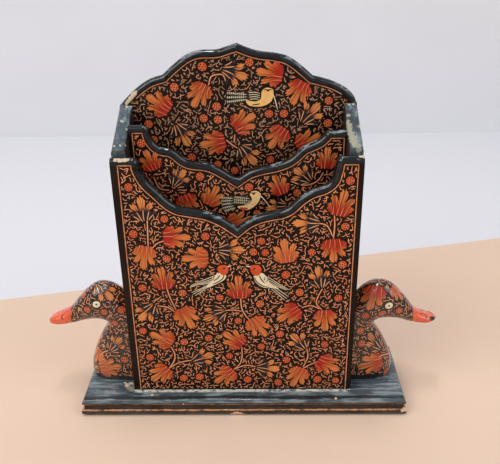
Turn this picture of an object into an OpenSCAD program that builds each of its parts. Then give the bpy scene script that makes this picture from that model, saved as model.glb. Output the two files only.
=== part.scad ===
/* [Base] */
// Width of the moulded base over its upper fillet
base_w = 221; // [205:1:240]
// How far the base stands out in front of the box
base_front = 11.4; // [8:0.1:16]
// How far the base stands out behind the box
base_back = 2; // [0:0.1:12]
// Thickness of the base
base_h = 13.1; // [11:0.1:16]
// How far the lower lip stands out past the upper fillet
lip_out = 0.8; // [0:0.1:2]
// How far the base is set to the right of the box's middle
base_shift = 1.1; // [-2:0.1:2]

/* [Box] */
// Width of the box over the side panels
box_w = 150; // [140:1:156]
// Depth of the box over the front and back panels
box_d = 50; // [48:1:60]
// Height of the front panel's corners above the base
front_corner_h = 168.8; // [166:0.1:174]
// Height of the side panels at the back panel
back_corner_h = 189.6; // [186:0.1:193]
// Height of the back panel's peak above the base
peak_h = 227; // [220:0.1:236]
// Height of the low point of the front panel's scooped rim
front_cusp_h = 123.5; // [118:0.1:128]
// Height of the low point of the divider's scooped rim
divider_cusp_h = 147.7; // [142:0.1:151]

/* [Boards] */
// Thickness of the side panels
side_t = 8.5; // [7:0.1:10]
// Thickness of the front panel
front_t = 7; // [5:0.1:8]
// Thickness of the divider
divider_t = 6.5; // [5:0.1:7]
// Thickness of the back panel
back_t = 6.5; // [5:0.1:7]
// Distance from the box's front face to the divider's front face
divider_y = 21; // [17:0.5:26]

/* [Ducks] */
// How far each duck reaches out from its side panel to the tip of the bill
duck_reach = 60.5; // [56:0.5:65]
// Height of the top of the head above the base
duck_h = 73; // [66:0.5:80]
// Width of the breast, front to back
duck_w = 30; // [26:0.5:32]
// Distance from the box's front face to the duck's middle plane
duck_y = 25; // [22:0.5:28]
// How far the right duck's bill is scooped on top, against the left duck's straight bill
bill_scoop = 2; // [0:0.1:3]
// How much slimmer the right duck's breast is than the left duck's
breast_cut = 1.8; // [0:0.1:2.5]
// How much deeper again the right duck's throat is cut
throat_cut = 1.2; // [0:0.1:2]

/* [Fastenings] */
// Diameter of the brads through the panels
brad_d = 1.4; // [1.2:0.1:1.8]
// Length of the brads
brad_l = 20; // [16:1:22]
// Diameter of the nails through the base
nail_d = 2; // [1.6:0.1:2.4]
// Diameter of the dowels under and behind the ducks
dowel_d = 6; // [4:0.5:7]

/* [Hidden] */
$fn = 48;

lacquer = [0.10, 0.13, 0.15];
ground = [0.13, 0.09, 0.07];
base_d = base_front + box_d + base_back;
front_y = base_front - base_d / 2;
back_y = front_y + box_d;
half_w = box_w / 2;
side_len = box_d - front_t - back_t;
rim_steps = 8;
curve_steps = 4;
// Heights of the brads above the base, and where they lie in the thickness of a side panel
brad_heights = [24, 88, 150];
brad_set = 1;
divider_brad_heights = [30, 130];
nail_rows = [front_y + 14, back_y - 14];
nail_head_d = 2.2 * nail_d;
nail_head_h = 1;
nail_l = 26;
peg_depth_base = base_h - 4;
peg_depth_duck = 13;
peg_depth_side = side_t - 3;
peg_u = 16;
peg_h = 22;

// Points of an arc in a plane, from angle a0 to angle a1, and the one at angle a of a rounded corner
function arc(cx, cz, r, a0, a1, n) =
    [for (i = [0:n]) let (a = a0 + (a1 - a0) * i / n) [cx + r * cos(a), cz + r * sin(a)]];
function turned(c, r, a) = [c[0] + r * cos(a), c[1] + r * sin(a)];

// One point of a smooth curve between b and c, with the neighbours a and d
function curve_point(a, b, c, d, t) =
    0.5 * (2 * b + (c - a) * t + (2 * a - 5 * b + 4 * c - d) * t * t
    + (3 * b - a - 3 * c + d) * t * t * t);

// A smooth curve through all the points of p, its last point left out
function curve(p, steps) = [
    for (i = [0:len(p) - 2])
        let (a = i > 0 ? p[i - 1] : 2 * p[0] - p[1])
        let (d = i < len(p) - 2 ? p[i + 2] : 2 * p[i + 1] - p[i])
        for (k = [0:steps - 1]) curve_point(a, p[i], p[i + 1], d, k / steps)
];

// Heights of a rim, given for the standard height of its middle, moved by the chosen height
function lift(p, dz, reach) =
    [for (q = p) [q[0] * half_w / 75, q[1] + dz * max(0, 1 - abs(q[0]) / reach)]];

// Front rim: scooped from each corner to a point in the middle
front_drop = front_cusp_h - 123.5;
front_round = 4.2;
front_left_turn = [-57.9 * half_w / 75 - front_round, front_corner_h - front_round];
front_right_turn = [58.4 * half_w / 75 + front_round, front_corner_h - front_round];
front_left_bowl = concat([turned(front_left_turn, front_round, 8)],
    lift([[-56.9, 160.9], [-53.6, 154.2], [-47.8, 147.9],
    [-42.6, 142.2], [-38.5, 139], [-35.1, 137.5]], front_drop, 56));
front_left_brow = lift([[-35.1, 137.5], [-27.9, 136.1], [-20.9, 134.8], [-14.4, 132.4], [-7.8, 128.8],
    [-0.6, 123.5]], front_drop, 56);
front_right_brow = lift([[-0.6, 123.5], [5.4, 128.4], [12.7, 131.8], [19.7, 133.6],
    [25.9, 134.7]], front_drop, 56);
front_right_bowl = concat(
    lift([[25.9, 134.7], [30.8, 137.1], [37.6, 143.6], [44.2, 148], [51.4, 150.6],
    [55.9, 154.4], [57.7, 160.2]], front_drop, 56), [turned(front_right_turn, front_round, 172)]);
front_rim = concat(
    [[-half_w, front_corner_h]],
    arc(front_left_turn[0], front_left_turn[1], front_round, 90, 22, 5),
    curve(front_left_bowl, curve_steps), curve(front_left_brow, curve_steps),
    curve(front_right_brow, curve_steps), curve(front_right_bowl, curve_steps),
    [turned(front_right_turn, front_round, 172)],
    arc(front_right_turn[0], front_right_turn[1], front_round, 158, 90, 5),
    [[half_w, front_corner_h]]);

// Divider rim, with a shoulder on each side
inner_w = half_w - side_t;
divider_left_h = 182.6;
divider_right_h = 178.2;
divider_round = 3.9;
divider_left_turn = [-53.8 * half_w / 75 - divider_round, divider_left_h - divider_round];
divider_right_turn = [52.6 * half_w / 75 + divider_round, divider_right_h - divider_round];
divider_drop = divider_cusp_h - 147.7;
divider_left_bowl = concat([turned(divider_left_turn, divider_round, 14)],
    lift([[-52.7, 174.9], [-50.5, 171.2], [-46.9, 168.6], [-42, 168]], divider_drop, 52));
divider_left_brow = lift([[-42, 168], [-38.1, 165.6], [-33.5, 161.4], [-28.5, 159.3], [-19.6, 158.1],
    [-12.2, 155], [-1, 147.7]], divider_drop, 52);
divider_right_brow = lift([[-1, 147.7], [6, 152.5], [13.7, 155.2], [21.5, 156.8], [28.3, 158.9],
    [33.3, 161.7], [40.1, 168.2]], divider_drop, 52);
divider_right_bowl = concat(
    lift([[40.1, 168.2], [45.3, 170.5], [49.7, 172.7]], divider_drop, 52),
    [turned(divider_right_turn, divider_round, 158)]);
divider_rim = concat(
    [[-inner_w, divider_left_h]],
    arc(divider_left_turn[0], divider_left_turn[1], divider_round, 90, 28, 5),
    curve(divider_left_bowl, curve_steps), curve(divider_left_brow, curve_steps),
    curve(divider_right_brow, curve_steps), curve(divider_right_bowl, curve_steps),
    [turned(divider_right_turn, divider_round, 158)],
    arc(divider_right_turn[0], divider_right_turn[1], divider_round, 144, 90, 5),
    [[inner_w, divider_right_h]]);

// Back rim: three lobes on each side of a low peak
back_rise = peak_h - 227;
back_left_shoulder = lift([[-75, back_corner_h], [-70.6, 194.1], [-63.1, 200.7], [-55, 205.8],
    [-46.8, 208.3]], back_rise, 75);
back_left_brow = lift([[-46.8, 208.3], [-40.5, 213.9], [-31.4, 220.5], [-23, 223.1], [-13.1, 223.3],
    [-6.2, 225.2], [-0.1, 227]], back_rise, 75);
back_right_brow = lift([[-0.1, 227], [7, 224.1], [14.5, 222], [23.7, 220.9], [32.2, 218.4],
    [40.2, 212.7], [46.9, 206.9]], back_rise, 75);
back_right_shoulder = lift([[46.9, 206.9], [53.7, 205.2], [60.4, 202.9], [67.7, 199.1], [72.8, 194.2],
    [75, back_corner_h]], back_rise, 75);
back_rim = concat(
    curve(back_left_shoulder, curve_steps), curve(back_left_brow, curve_steps),
    curve(back_right_brow, curve_steps), curve(back_right_shoulder, curve_steps),
    [[half_w, back_corner_h]]);

// Outward direction at each point of a rim, lengthened at corners so that both sides move alike
function edge_out(a, b) = let (d = b - a) [-d[1], d[0]] / norm(d);
function rim_out(p, i) =
    let (a = i > 0 ? edge_out(p[i - 1], p[i]) : [-1, 0])
    let (b = i < len(p) - 1 ? edge_out(p[i], p[i + 1]) : [1, 0])
    (a + b) / (1 + a * b);

// A board with a full round along its rim: sections from the front face to the back face,
// each with the rim drawn in by what the round takes away at that depth
module round_rimmed_board(rim, w, t) {
    n = len(rim);
    m = n + 2;
    r = t / 2;
    outline = [for (k = [0:rim_steps])
        let (a = 180 * k / rim_steps)
        let (inset = r * (1 - sin(a)))
        concat([[-w, r - r * cos(a), 0]],
            [for (i = [0:n - 1])
                let (out = rim_out(rim, i))
                let (edge = i == 0 || i == n - 1)
                [rim[i][0] - (edge ? 0 : out[0] * inset), r - r * cos(a), rim[i][1] - out[1] * inset]],
            [[w, r - r * cos(a), 0]])];
    points = [for (s = outline) for (p = s) p];
    last = rim_steps * m;
    polyhedron(points, concat(
        [[for (i = [m - 1:-1:0]) i]],
        [[for (i = [0:m - 1]) last + i]],
        [for (k = [0:rim_steps - 1]) for (i = [0:m - 1]) let (j = (i + 1) % m)
            [k * m + i, k * m + j, (k + 1) * m + i]],
        [for (k = [0:rim_steps - 1]) for (i = [0:m - 1]) let (j = (i + 1) % m)
            [k * m + j, (k + 1) * m + j, (k + 1) * m + i]]));
}

// Half outline of the base's moulded edge: nosing, fillet, cove, lip and ovolo under it
nosing_w = 3;
nosing_h = 2.4;
fillet_z = base_h - 3.7;
cove_depth = 1.1;
lip_z = 4.7;
lip_h = 0.9;
foot_in = 1.8;
function edge_profile(half) = concat(
    [[0, base_h]],
    [for (a = [90:-15:0]) [half - nosing_w + nosing_w * cos(a), base_h - nosing_h + nosing_h * sin(a)]],
    [for (a = [90:-20:-90])
        [half - cove_depth * cos(a), (fillet_z + lip_z) / 2 + (fillet_z - lip_z) / 2 * sin(a)]],
    [[half + lip_out - 0.3, lip_z], [half + lip_out, lip_z - 0.3]],
    [for (a = [0:-15:-75])
        [half - foot_in + (lip_out + foot_in) * cos(a), (lip_z - lip_h) * (1 + sin(a))]],
    [[half - foot_in, 0], [0, 0]]);

module moulded_run(half, length) {
    side = edge_profile(half);
    translate([0, length / 2, 0])
        rotate([90, 0, 0])
            linear_extrude(length)
                polygon(concat(
                    [for (i = [1:len(side) - 2]) side[i]],
                    [for (i = [len(side) - 2:-1:1]) [-side[i][0], side[i][1]]]));
}

module base_board() {
    color(lacquer)
        difference() {
            translate([base_shift, 0, 0])
                intersection() {
                    moulded_run(base_w / 2, base_d + 20);
                    rotate([0, 0, 90]) moulded_run(base_d / 2, base_w + 20);
                }
            base_nails_shape();
            duck_dowels_shape();
        }
}

module front_panel() {
    color(ground)
        difference() {
            translate([0, front_y, base_h]) round_rimmed_board(front_rim, half_w, front_t);
            front_brads_shape();
        }
}

module middle_divider() {
    color(ground)
        difference() {
            translate([0, front_y + divider_y, base_h])
                round_rimmed_board(divider_rim, inner_w, divider_t);
            divider_brads_shape();
        }
}

module back_panel() {
    color(ground)
        difference() {
            translate([0, back_y - back_t, base_h]) round_rimmed_board(back_rim, half_w, back_t);
            back_brads_shape();
        }
}

// Side panel: an upright board with a sloping top whose long edges are eased
top_ease = 1.6;
side_slope = atan((back_corner_h - front_corner_h) / (box_d - back_t));
side_front_h = back_corner_h - side_len * tan(side_slope);
module side_board() {
    intersection() {
        rotate([90, 0, 90])
            linear_extrude(side_t)
                polygon([[0, 0], [side_len, 0], [side_len, back_corner_h], [0, side_front_h]]);
        translate([0, 0, side_front_h])
            rotate([side_slope, 0, 0])
                translate([0, side_len + 20, 0])
                    rotate([90, 0, 0])
                        linear_extrude(side_len + 80)
                            polygon(concat([[0, -250], [side_t, -250]],
                                arc(side_t - top_ease, -top_ease, top_ease, 0, 90, 4),
                                arc(top_ease, -top_ease, top_ease, 90, 180, 4)));
    }
}

module left_side_panel() {
    color(lacquer)
        difference() {
            translate([-half_w, front_y + front_t, base_h]) side_board();
            all_fastenings();
        }
}

module right_side_panel() {
    color(lacquer)
        difference() {
            translate([half_w - side_t, front_y + front_t, base_h]) side_board();
            all_fastenings();
        }
}

// Duck sections: [lower end out, lower end up, upper end out, upper end up, half width, squareness]
// A section spans from its lower end to its upper end, and what would pass the panel is cut flat.
kw = duck_w / 30;
kh = duck_h / 73;
kr = duck_reach / 61;
duck_sections = [
    [33, 0, -33, 0, 14.6, 3.2],
    [34, 3, -34, 3, 15, 3.1],
    [33.8, 8, -33.8, 8, 15, 3],
    [33, 13, -33, 13, 14.9, 2.9],
    [31, 18.5, -31, 18.5, 14.6, 2.7],
    [28.8, 24, -28.8, 24, 14.2, 2.6],
    [26, 29.7, -26, 29.7, 13.6, 2.5],
    [23.3, 34.5, -23.3, 34.5, 12.8, 2.4],
    [20.8, 38.3, -20.8, 38.7, 12, 2.3],
    [19.3, 41.2, -16.5, 44.2, 11.5, 2.2],
    [19.9, 42.7, -11, 49.4, 11.2, 2.1],
    [21, 43.6, -5, 54.8, 11.1, 2],
    [22.5, 44.1, 0.6, 59.6, 11.1, 2],
    [24.1, 44.3, 5, 64.7, 11.1, 2],
    [25.8, 44.3, 9.2, 68.9, 11.1, 2],
    [27.6, 44.2, 14.6, 72, 11, 2],
    [29.6, 44, 20.2, 73, 10.7, 2],
    [31.6, 43.7, 25.5, 71.8, 10.2, 2],
    [33.8, 43.3, 30.6, 68.2, 9.5, 2],
    [36, 42.8, 35.2, 63.1, 8.7, 2],
    [38.6, 42.2, 39.6, 58.3, 7.8, 2.1],
    [41.6, 41.4, 42.9, 54.1, 7.1, 2.2],
    [45.2, 40.9, 46.8, 51.3, 6.7, 2.3],
    [49, 40.3, 51, 49.1, 6.6, 2.4],
    [52.8, 39.9, 54.5, 47.7, 6.4, 2.4],
    [56, 39.9, 57.7, 46.2, 5.8, 2.3],
    [58.8, 40.6, 60, 44.6, 4.4, 2.1],
    [60.6, 41.7, 61, 43, 2, 2]
];
ring_n = 24;
function soft(c, e) = sign(c) * pow(abs(c), 2 / e);

// Where the scoop of the bill, the slimming of the breast and the cut of the throat take effect
function scoop_at(out) = max(0, min((out - 39) / 6, 1, (61 - out) / 6));
function throat_at(up) = max(0, 1 - abs(up - 39) / 12);
function breast_at(up) = max(0, min(1, (44 - up) / 4));
function duck_ring(s, scoop, breast, throat) =
    let (in = breast * breast_at(s[1]) + throat * throat_at(s[1]) * (s[0] < 30 ? 1 : 0))
    let (low = s[0] - in)
    let (top = s[3] - scoop * scoop_at(s[2]))
    let (mid = [(low + s[2]) / 2, (s[1] + top) / 2])
    let (arm = [(low - s[2]) / 2, (s[1] - top) / 2])
    [for (i = [0:ring_n - 1])
        let (a = 360 * i / ring_n)
        let (c = soft(cos(a), s[5]))
        [max(0, mid[0] + arm[0] * c) * kr, s[4] * kw * soft(sin(a), s[5]), (mid[1] + arm[1] * c) * kh]];

module duck_shape(scoop, breast, throat) {
    rings = [for (s = duck_sections) duck_ring(s, scoop, breast, throat)];
    count = len(rings);
    last = (count - 1) * ring_n;
    polyhedron([for (r = rings) for (p = r) p], concat(
        [[for (i = [0:ring_n - 1]) i]],
        [[for (i = [ring_n - 1:-1:0]) last + i]],
        [for (k = [0:count - 2]) for (i = [0:ring_n - 1]) let (j = (i + 1) % ring_n)
            [k * ring_n + i, (k + 1) * ring_n + i, k * ring_n + j]],
        [for (k = [0:count - 2]) for (i = [0:ring_n - 1]) let (j = (i + 1) % ring_n)
            [k * ring_n + j, (k + 1) * ring_n + i, (k + 1) * ring_n + j]]));
}

module left_duck() {
    color(ground)
        difference() {
            mirror([1, 0, 0]) translate([half_w, front_y + duck_y, base_h]) duck_shape(0, 0, 0);
            duck_dowels_shape();
        }
}

module right_duck() {
    color(ground)
        difference() {
            translate([half_w, front_y + duck_y, base_h])
                duck_shape(bill_scoop, breast_cut, throat_cut);
            duck_dowels_shape();
        }
}

// Fastenings, each drawn once and used for the holes too
brad_x = half_w - side_t / 2;
module front_brads_shape() {
    for (s = [-1, 1]) for (h = brad_heights)
        translate([s * brad_x, front_y + brad_set, base_h + h])
            rotate([-90, 0, 0]) cylinder(d = brad_d, h = brad_l);
}

module back_brads_shape() {
    for (s = [-1, 1]) for (h = brad_heights)
        translate([s * brad_x, back_y - brad_set, base_h + h + 10])
            rotate([90, 0, 0]) cylinder(d = brad_d, h = brad_l);
}

module divider_brads_shape() {
    for (s = [-1, 1]) for (h = divider_brad_heights)
        translate([s * (half_w - brad_set), front_y + divider_y + divider_t / 2, base_h + h])
            rotate([0, -90 * s, 0]) cylinder(d = brad_d, h = brad_l);
}

module base_nails_shape() {
    for (s = [-1, 1]) for (y = nail_rows)
        translate([s * brad_x, y, 0]) {
            cylinder(d = nail_d, h = nail_l);
            cylinder(d = nail_head_d, h = nail_head_h);
        }
}

module duck_dowels_shape() {
    for (s = [-1, 1]) {
        translate([s * (half_w + peg_u), front_y + duck_y, base_h - peg_depth_base])
            cylinder(d = dowel_d, h = peg_depth_base + peg_depth_duck);
        translate([s * (half_w - peg_depth_side), front_y + duck_y, base_h + peg_h])
            rotate([0, 90 * s, 0]) cylinder(d = dowel_d - 1, h = peg_depth_side + 9);
    }
}

module all_fastenings() {
    front_brads_shape();
    back_brads_shape();
    divider_brads_shape();
    base_nails_shape();
    duck_dowels_shape();
}

module front_panel_brads() {
    color("silver") front_brads_shape();
}

module back_panel_brads() {
    color("silver") back_brads_shape();
}

module divider_brads() {
    color("silver") divider_brads_shape();
}

module base_nails() {
    color("silver") base_nails_shape();
}

module duck_dowels() {
    color("burlywood") duck_dowels_shape();
}

base_board();
front_panel();
middle_divider();
back_panel();
left_side_panel();
right_side_panel();
left_duck();
right_duck();
front_panel_brads();
back_panel_brads();
divider_brads();
base_nails();
duck_dowels();
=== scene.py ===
import bpy
import bmesh
import math
import random
from types import SimpleNamespace
from mathutils import Vector, Matrix
from mathutils.bvhtree import BVHTree


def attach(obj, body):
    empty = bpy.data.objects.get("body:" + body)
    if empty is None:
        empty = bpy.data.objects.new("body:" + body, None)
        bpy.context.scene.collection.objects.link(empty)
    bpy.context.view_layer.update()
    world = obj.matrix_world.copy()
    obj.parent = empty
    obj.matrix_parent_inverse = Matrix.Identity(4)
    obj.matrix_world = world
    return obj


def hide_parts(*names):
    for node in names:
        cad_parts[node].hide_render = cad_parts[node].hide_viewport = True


# Desk letter box: a painted lacquer box with two compartments on a moulded base, a carved duck on each end.
# Metres, except in the dictionaries of the pieces, which are in millimetres. x runs along the base, y from
# front to back, z up.

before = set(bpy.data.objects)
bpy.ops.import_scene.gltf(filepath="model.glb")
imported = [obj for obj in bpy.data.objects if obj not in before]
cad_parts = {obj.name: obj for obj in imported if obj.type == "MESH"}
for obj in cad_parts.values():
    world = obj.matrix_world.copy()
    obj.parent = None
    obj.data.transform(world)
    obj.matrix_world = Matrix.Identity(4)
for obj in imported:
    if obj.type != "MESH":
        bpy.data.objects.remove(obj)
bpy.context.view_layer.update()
bpy.ops.object.select_all(action="DESELECT")
mm = 0.001
print("frame loaded")


# shader trees: a node goes into the tree that its inputs come from, to the right of them
def isSocket(value):
    return isinstance(value, bpy.types.NodeSocket)


def feed(node, inputs):  # links what is a socket and sets what is a value
    for key, value in inputs.items():
        if isSocket(value):
            node.id_data.links.new(value, node.inputs[key])
        else:
            node.inputs[key].default_value = value


def put(kind, inputs, settings=None, tree=None):
    feeders = [value.node for value in inputs.values() if isSocket(value)]
    tree = tree or feeders[0].id_data
    made = tree.nodes.new("ShaderNode" + kind)
    leftOf = max((node.location.x for node in feeders), default=-4200)
    made.location = (leftOf + 180, -90 * (len(tree.nodes) % 12))
    for key, value in (settings or {}).items():
        setattr(made, key, value)
    feed(made, inputs)
    return made


def paint(red, green, blue):  # a colour as the eye reads it, 0 to 255, made linear
    return tuple(((c / 255 + 0.055) / 1.055) ** 2.4 for c in (red, green, blue)) + (1.0,)


def blend(factor, first, second):  # a colour is a socket, or red, green and blue as the eye reads them
    first, second = (paint(*colour) if isinstance(colour, tuple) else colour for colour in (first, second))
    return put("Mix", {0: factor, 6: first, 7: second}, {"data_type": "RGBA"}).outputs[2]


def reckon(operation, first, second=0.0, clamp=False):
    return put("Math", {0: first, 1: second}, {"operation": operation, "use_clamp": clamp}).outputs[0]


def plus(first, second, clamp=False):
    return reckon("ADD", first, second, clamp)


def minus(first, second, clamp=False):
    return reckon("SUBTRACT", first, second, clamp)


def times(first, second, clamp=False):
    return reckon("MULTIPLY", first, second, clamp)


def unsigned(value):
    return reckon("ABSOLUTE", value)


def steps(source, low, high):  # a soft threshold between low and high
    settings = {"clamp": True, "interpolation_type": "SMOOTHSTEP"}
    return put("MapRange", {0: source, 1: low, 2: high, 3: 0.0, 4: 1.0}, settings).outputs[0]


def noise(where, scale, detail, roughness=0.5, settings=None):
    inputs = {"Vector": where, "Scale": scale, "Detail": detail, "Roughness": roughness}
    return put("TexNoise", inputs, settings).outputs["Fac"]


def apart(where):
    return put("SeparateXYZ", {0: where}).outputs


def stretched(where, factors):
    return put("VectorMath", {0: where, 1: factors}, {"operation": "MULTIPLY"}).outputs[0]


def distance(where, spot):
    return put("VectorMath", {0: where, 1: spot}, {"operation": "DISTANCE"}).outputs["Value"]


def groupTree(name, inputs, outputs):
    tree = bpy.data.node_groups.new(name, "ShaderNodeTree")
    for label, kind, value in inputs:
        made = tree.interface.new_socket(label, in_out="INPUT", socket_type="NodeSocket" + kind)
        if value is not None:
            made.default_value = value
    for label in outputs:
        tree.interface.new_socket(label, in_out="OUTPUT", socket_type="NodeSocketFloat")
    enter = tree.nodes.new("NodeGroupInput")
    enter.location.x = -4200
    return tree, enter.outputs, tree.nodes.new("NodeGroupOutput")


def newMaterial(name):
    made = bpy.data.materials.new(name)
    made.use_nodes = True
    where = put("TexCoord", {}, tree=made.node_tree).outputs["Object"]
    return made, made.node_tree.nodes["Principled BSDF"], where


# the camera and the room
view = {  # place in metres, angles in radians, the picture in points
    "place": (0.0135, -0.3814, 0.3071), "turn": -0.0176, "drop": 0.4461, "tilt": -0.0150, "focal": 650.7,
    "width": 500, "height": 464, "sensor": 36, "clip": (0.01, 20),
    "floor": (218, 190, 168), "wall": (220, 219, 223), "farFloor": (214, 213, 217), "edge": 0.176,
    "edgeSlope": 0.244, "edgeBlur": 0.001, "planes": 6, "wallPlace": (0, 0.62, 1.5),
    "sky": (228, 232, 238), "skyStrength": 0.6,
}
lamps = {  # place, aim, size, power and colour
    "window left": ((-1.1, -0.9, 1.5), (0, 0, 0.1), (1.2, 1.2), 20, (1.0, 0.985, 0.96)),
    "window right": ((1.3, -0.6, 1.3), (0, 0, 0.1), (1.0, 1.2), 8.5, (0.96, 0.98, 1.0)),
    "ceiling light": ((-0.1, 0.0, 1.5), (0, -0.02, 0.1), (0.6, 0.14), 6, (0.97, 0.99, 1.0)),
}


def placeCamera():
    turn, drop, tilt = view["turn"], view["drop"], view["tilt"]
    ahead = Vector((math.sin(turn) * math.cos(drop), math.cos(turn) * math.cos(drop), -math.sin(drop)))
    across = ahead.cross(Vector((0, 0, 1))).normalized()
    over = across.cross(ahead)
    right = math.cos(tilt) * across + math.sin(tilt) * over
    up = -math.sin(tilt) * across + math.cos(tilt) * over
    data = bpy.data.cameras.new("camera")
    data.sensor_width = view["sensor"]
    data.lens = view["sensor"] * view["focal"] / view["width"]
    data.clip_start, data.clip_end = view["clip"]
    camera = bpy.data.objects.new("camera", data)
    rows = [(right[i], up[i], -ahead[i], view["place"][i]) for i in range(3)]
    camera.matrix_world = Matrix((*rows, (0, 0, 0, 1)))
    bpy.context.scene.collection.objects.link(camera)
    bpy.context.scene.camera = camera


def addLamp(name, place, aim, size, power, colour):
    data = bpy.data.lights.new(name, "AREA")
    data.shape = "RECTANGLE"
    data.size, data.size_y = size
    data.energy = power
    data.color = colour
    lamp = bpy.data.objects.new(name, data)
    lamp.location = place
    lamp.rotation_mode = "QUATERNION"
    lamp.rotation_quaternion = (Vector(aim) - Vector(place)).to_track_quat("-Z", "Y")
    bpy.context.scene.collection.objects.link(lamp)


def plainSurface(name, colour, beyond=None):
    made, shader, where = newMaterial(name)
    dark, light = ([c * share for c in paint(*colour)[:3]] + [1] for share in (0.96, 1.04))
    shade = blend(noise(where, 9.0, 3.0), dark, light)
    if beyond:  # past the floor's far edge
        x, y = apart(where)[:2]
        far = minus(y, times(x, view["edgeSlope"]))
        edge, blur = view["edge"], view["edgeBlur"]
        shade = blend(steps(far, edge - blur, edge + blur), shade, beyond)
    feed(shader, {"Base Color": shade, "Roughness": 0.7, "Specular IOR Level": 0.2})
    return made


def addPlane(name, made, **placed):
    bpy.ops.mesh.primitive_plane_add(size=view["planes"], **placed)
    plane = bpy.context.object
    plane.name = name
    plane.data.materials.append(made)
    return plane


def makeRoom():
    floor = addPlane("floor", plainSurface("pale floor", view["floor"], view["farFloor"]), location=(0, 0, 0))
    wall = addPlane("backdrop", plainSurface("pale wall", view["wall"]), location=view["wallPlace"],
                    rotation=(math.pi / 2, 0, 0))
    for name, values in lamps.items():
        addLamp(name, *values)
    world = bpy.data.worlds.new("room light")
    world.use_nodes = True
    bpy.context.scene.world = world
    feed(world.node_tree.nodes["Background"], {"Color": paint(*view["sky"]), "Strength": view["skyStrength"]})


placeCamera()
makeRoom()
bpy.context.scene.view_settings.view_transform = "Standard"
print("camera, floor and light")


# finishes that more than one material uses
def makeVarnish():  # unevenness of the varnish over everything: roughness and relief
    inputs = [("Vector", "Vector", None), ("Gloss", "Float", 0.3), ("Grain", "Float", 900.0)]
    tree, given, result = groupTree("varnish", inputs, ["Roughness", "Height"])
    broad = noise(given["Vector"], 110.0, 4.0)
    fine = noise(given["Vector"], given["Grain"], 2.0)
    spread = times(minus(broad, 0.5), 0.35)
    feed(result, {"Roughness": plus(spread, given["Gloss"], True), "Height": plus(times(fine, 0.35), broad)})
    return tree


def makeBrushWear():  # long dry-brush streaks and small chips, as masks
    inputs = [("Vector", "Vector", None), ("Stretch", "Vector", (60.0, 500.0, 500.0)),
              ("Amount", "Float", 0.5)]
    tree, given, result = groupTree("brush wear", inputs, ["Streaks", "Chips"])
    lines = noise(stretched(given["Vector"], given["Stretch"]), 1.0, 5.0, 0.62)
    patches = noise(given["Vector"], 70.0, 3.0)
    joined = plus(lines, times(patches, 0.55))
    limit = minus(1.05, times(given["Amount"], 0.5))
    flakes = plus(noise(given["Vector"], 420.0, 3.0), times(patches, 0.6))
    feed(result, {"Streaks": times(minus(joined, limit), 7.0, True), "Chips": steps(flakes, 0.99, 1.03)})
    return tree


varnish = makeVarnish()
brushWear = makeBrushWear()


def finishSurface(shader, where, gloss, bump, grain=900.0, extra=None, shine=0.5, coat=0.25, coatRough=0.16):
    uneven = put("Group", {"Vector": where, "Gloss": gloss, "Grain": grain}, {"node_tree": varnish}).outputs
    height = uneven["Height"] if extra is None else plus(uneven["Height"], extra)
    relief = put("Bump", {"Strength": bump, "Distance": 0.4 * mm, "Height": height}).outputs["Normal"]
    feed(shader, {"Roughness": uneven["Roughness"], "Normal": relief, "Specular IOR Level": shine,
                  "Coat Weight": coat, "Coat Roughness": coatRough})


def brushMarks(where, stretch, amount):
    inputs = {"Vector": where, "Stretch": stretch, "Amount": amount}
    return put("Group", inputs, {"node_tree": brushWear}).outputs


# the varnish is gone where it is rubbed
def finishWorn(shader, where, gloss, grain, streaks, shine, coatRough):
    finishSurface(shader, where, gloss, 0.6, grain, times(streaks, -0.6), shine=shine, coatRough=coatRough)
    feed(shader, {"Coat Weight": minus(0.9, times(streaks, 0.8), True)})


def clouded(where, ground, cloud, scale):
    return blend(steps(noise(where, scale, 5.0, 0.6), 0.35, 0.72), ground, cloud)


def lacquerMaterial(name, ground, cloud, gloss=0.3, bump=0.25, scale=30.0, metallic=0.0, **finish):
    made, shader, where = newMaterial(name)
    feed(shader, {"Base Color": clouded(where, ground, cloud, scale), "Metallic": metallic})
    finishSurface(shader, where, gloss, bump, **finish)
    return made


def wornSpots(where, spots):  # a mask of rubbed places with ragged edges
    nearest = 9.0
    for x, y, z, reach in spots:
        share = reckon("DIVIDE", distance(where, (x * mm, y * mm, z * mm)), reach * mm)
        nearest = reckon("MINIMUM", share, nearest)
    ragged = times(noise(where, 620.0, 4.0, 0.65), 1.9)
    return steps(plus(nearest, ragged), 1.72, 1.58)


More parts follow.
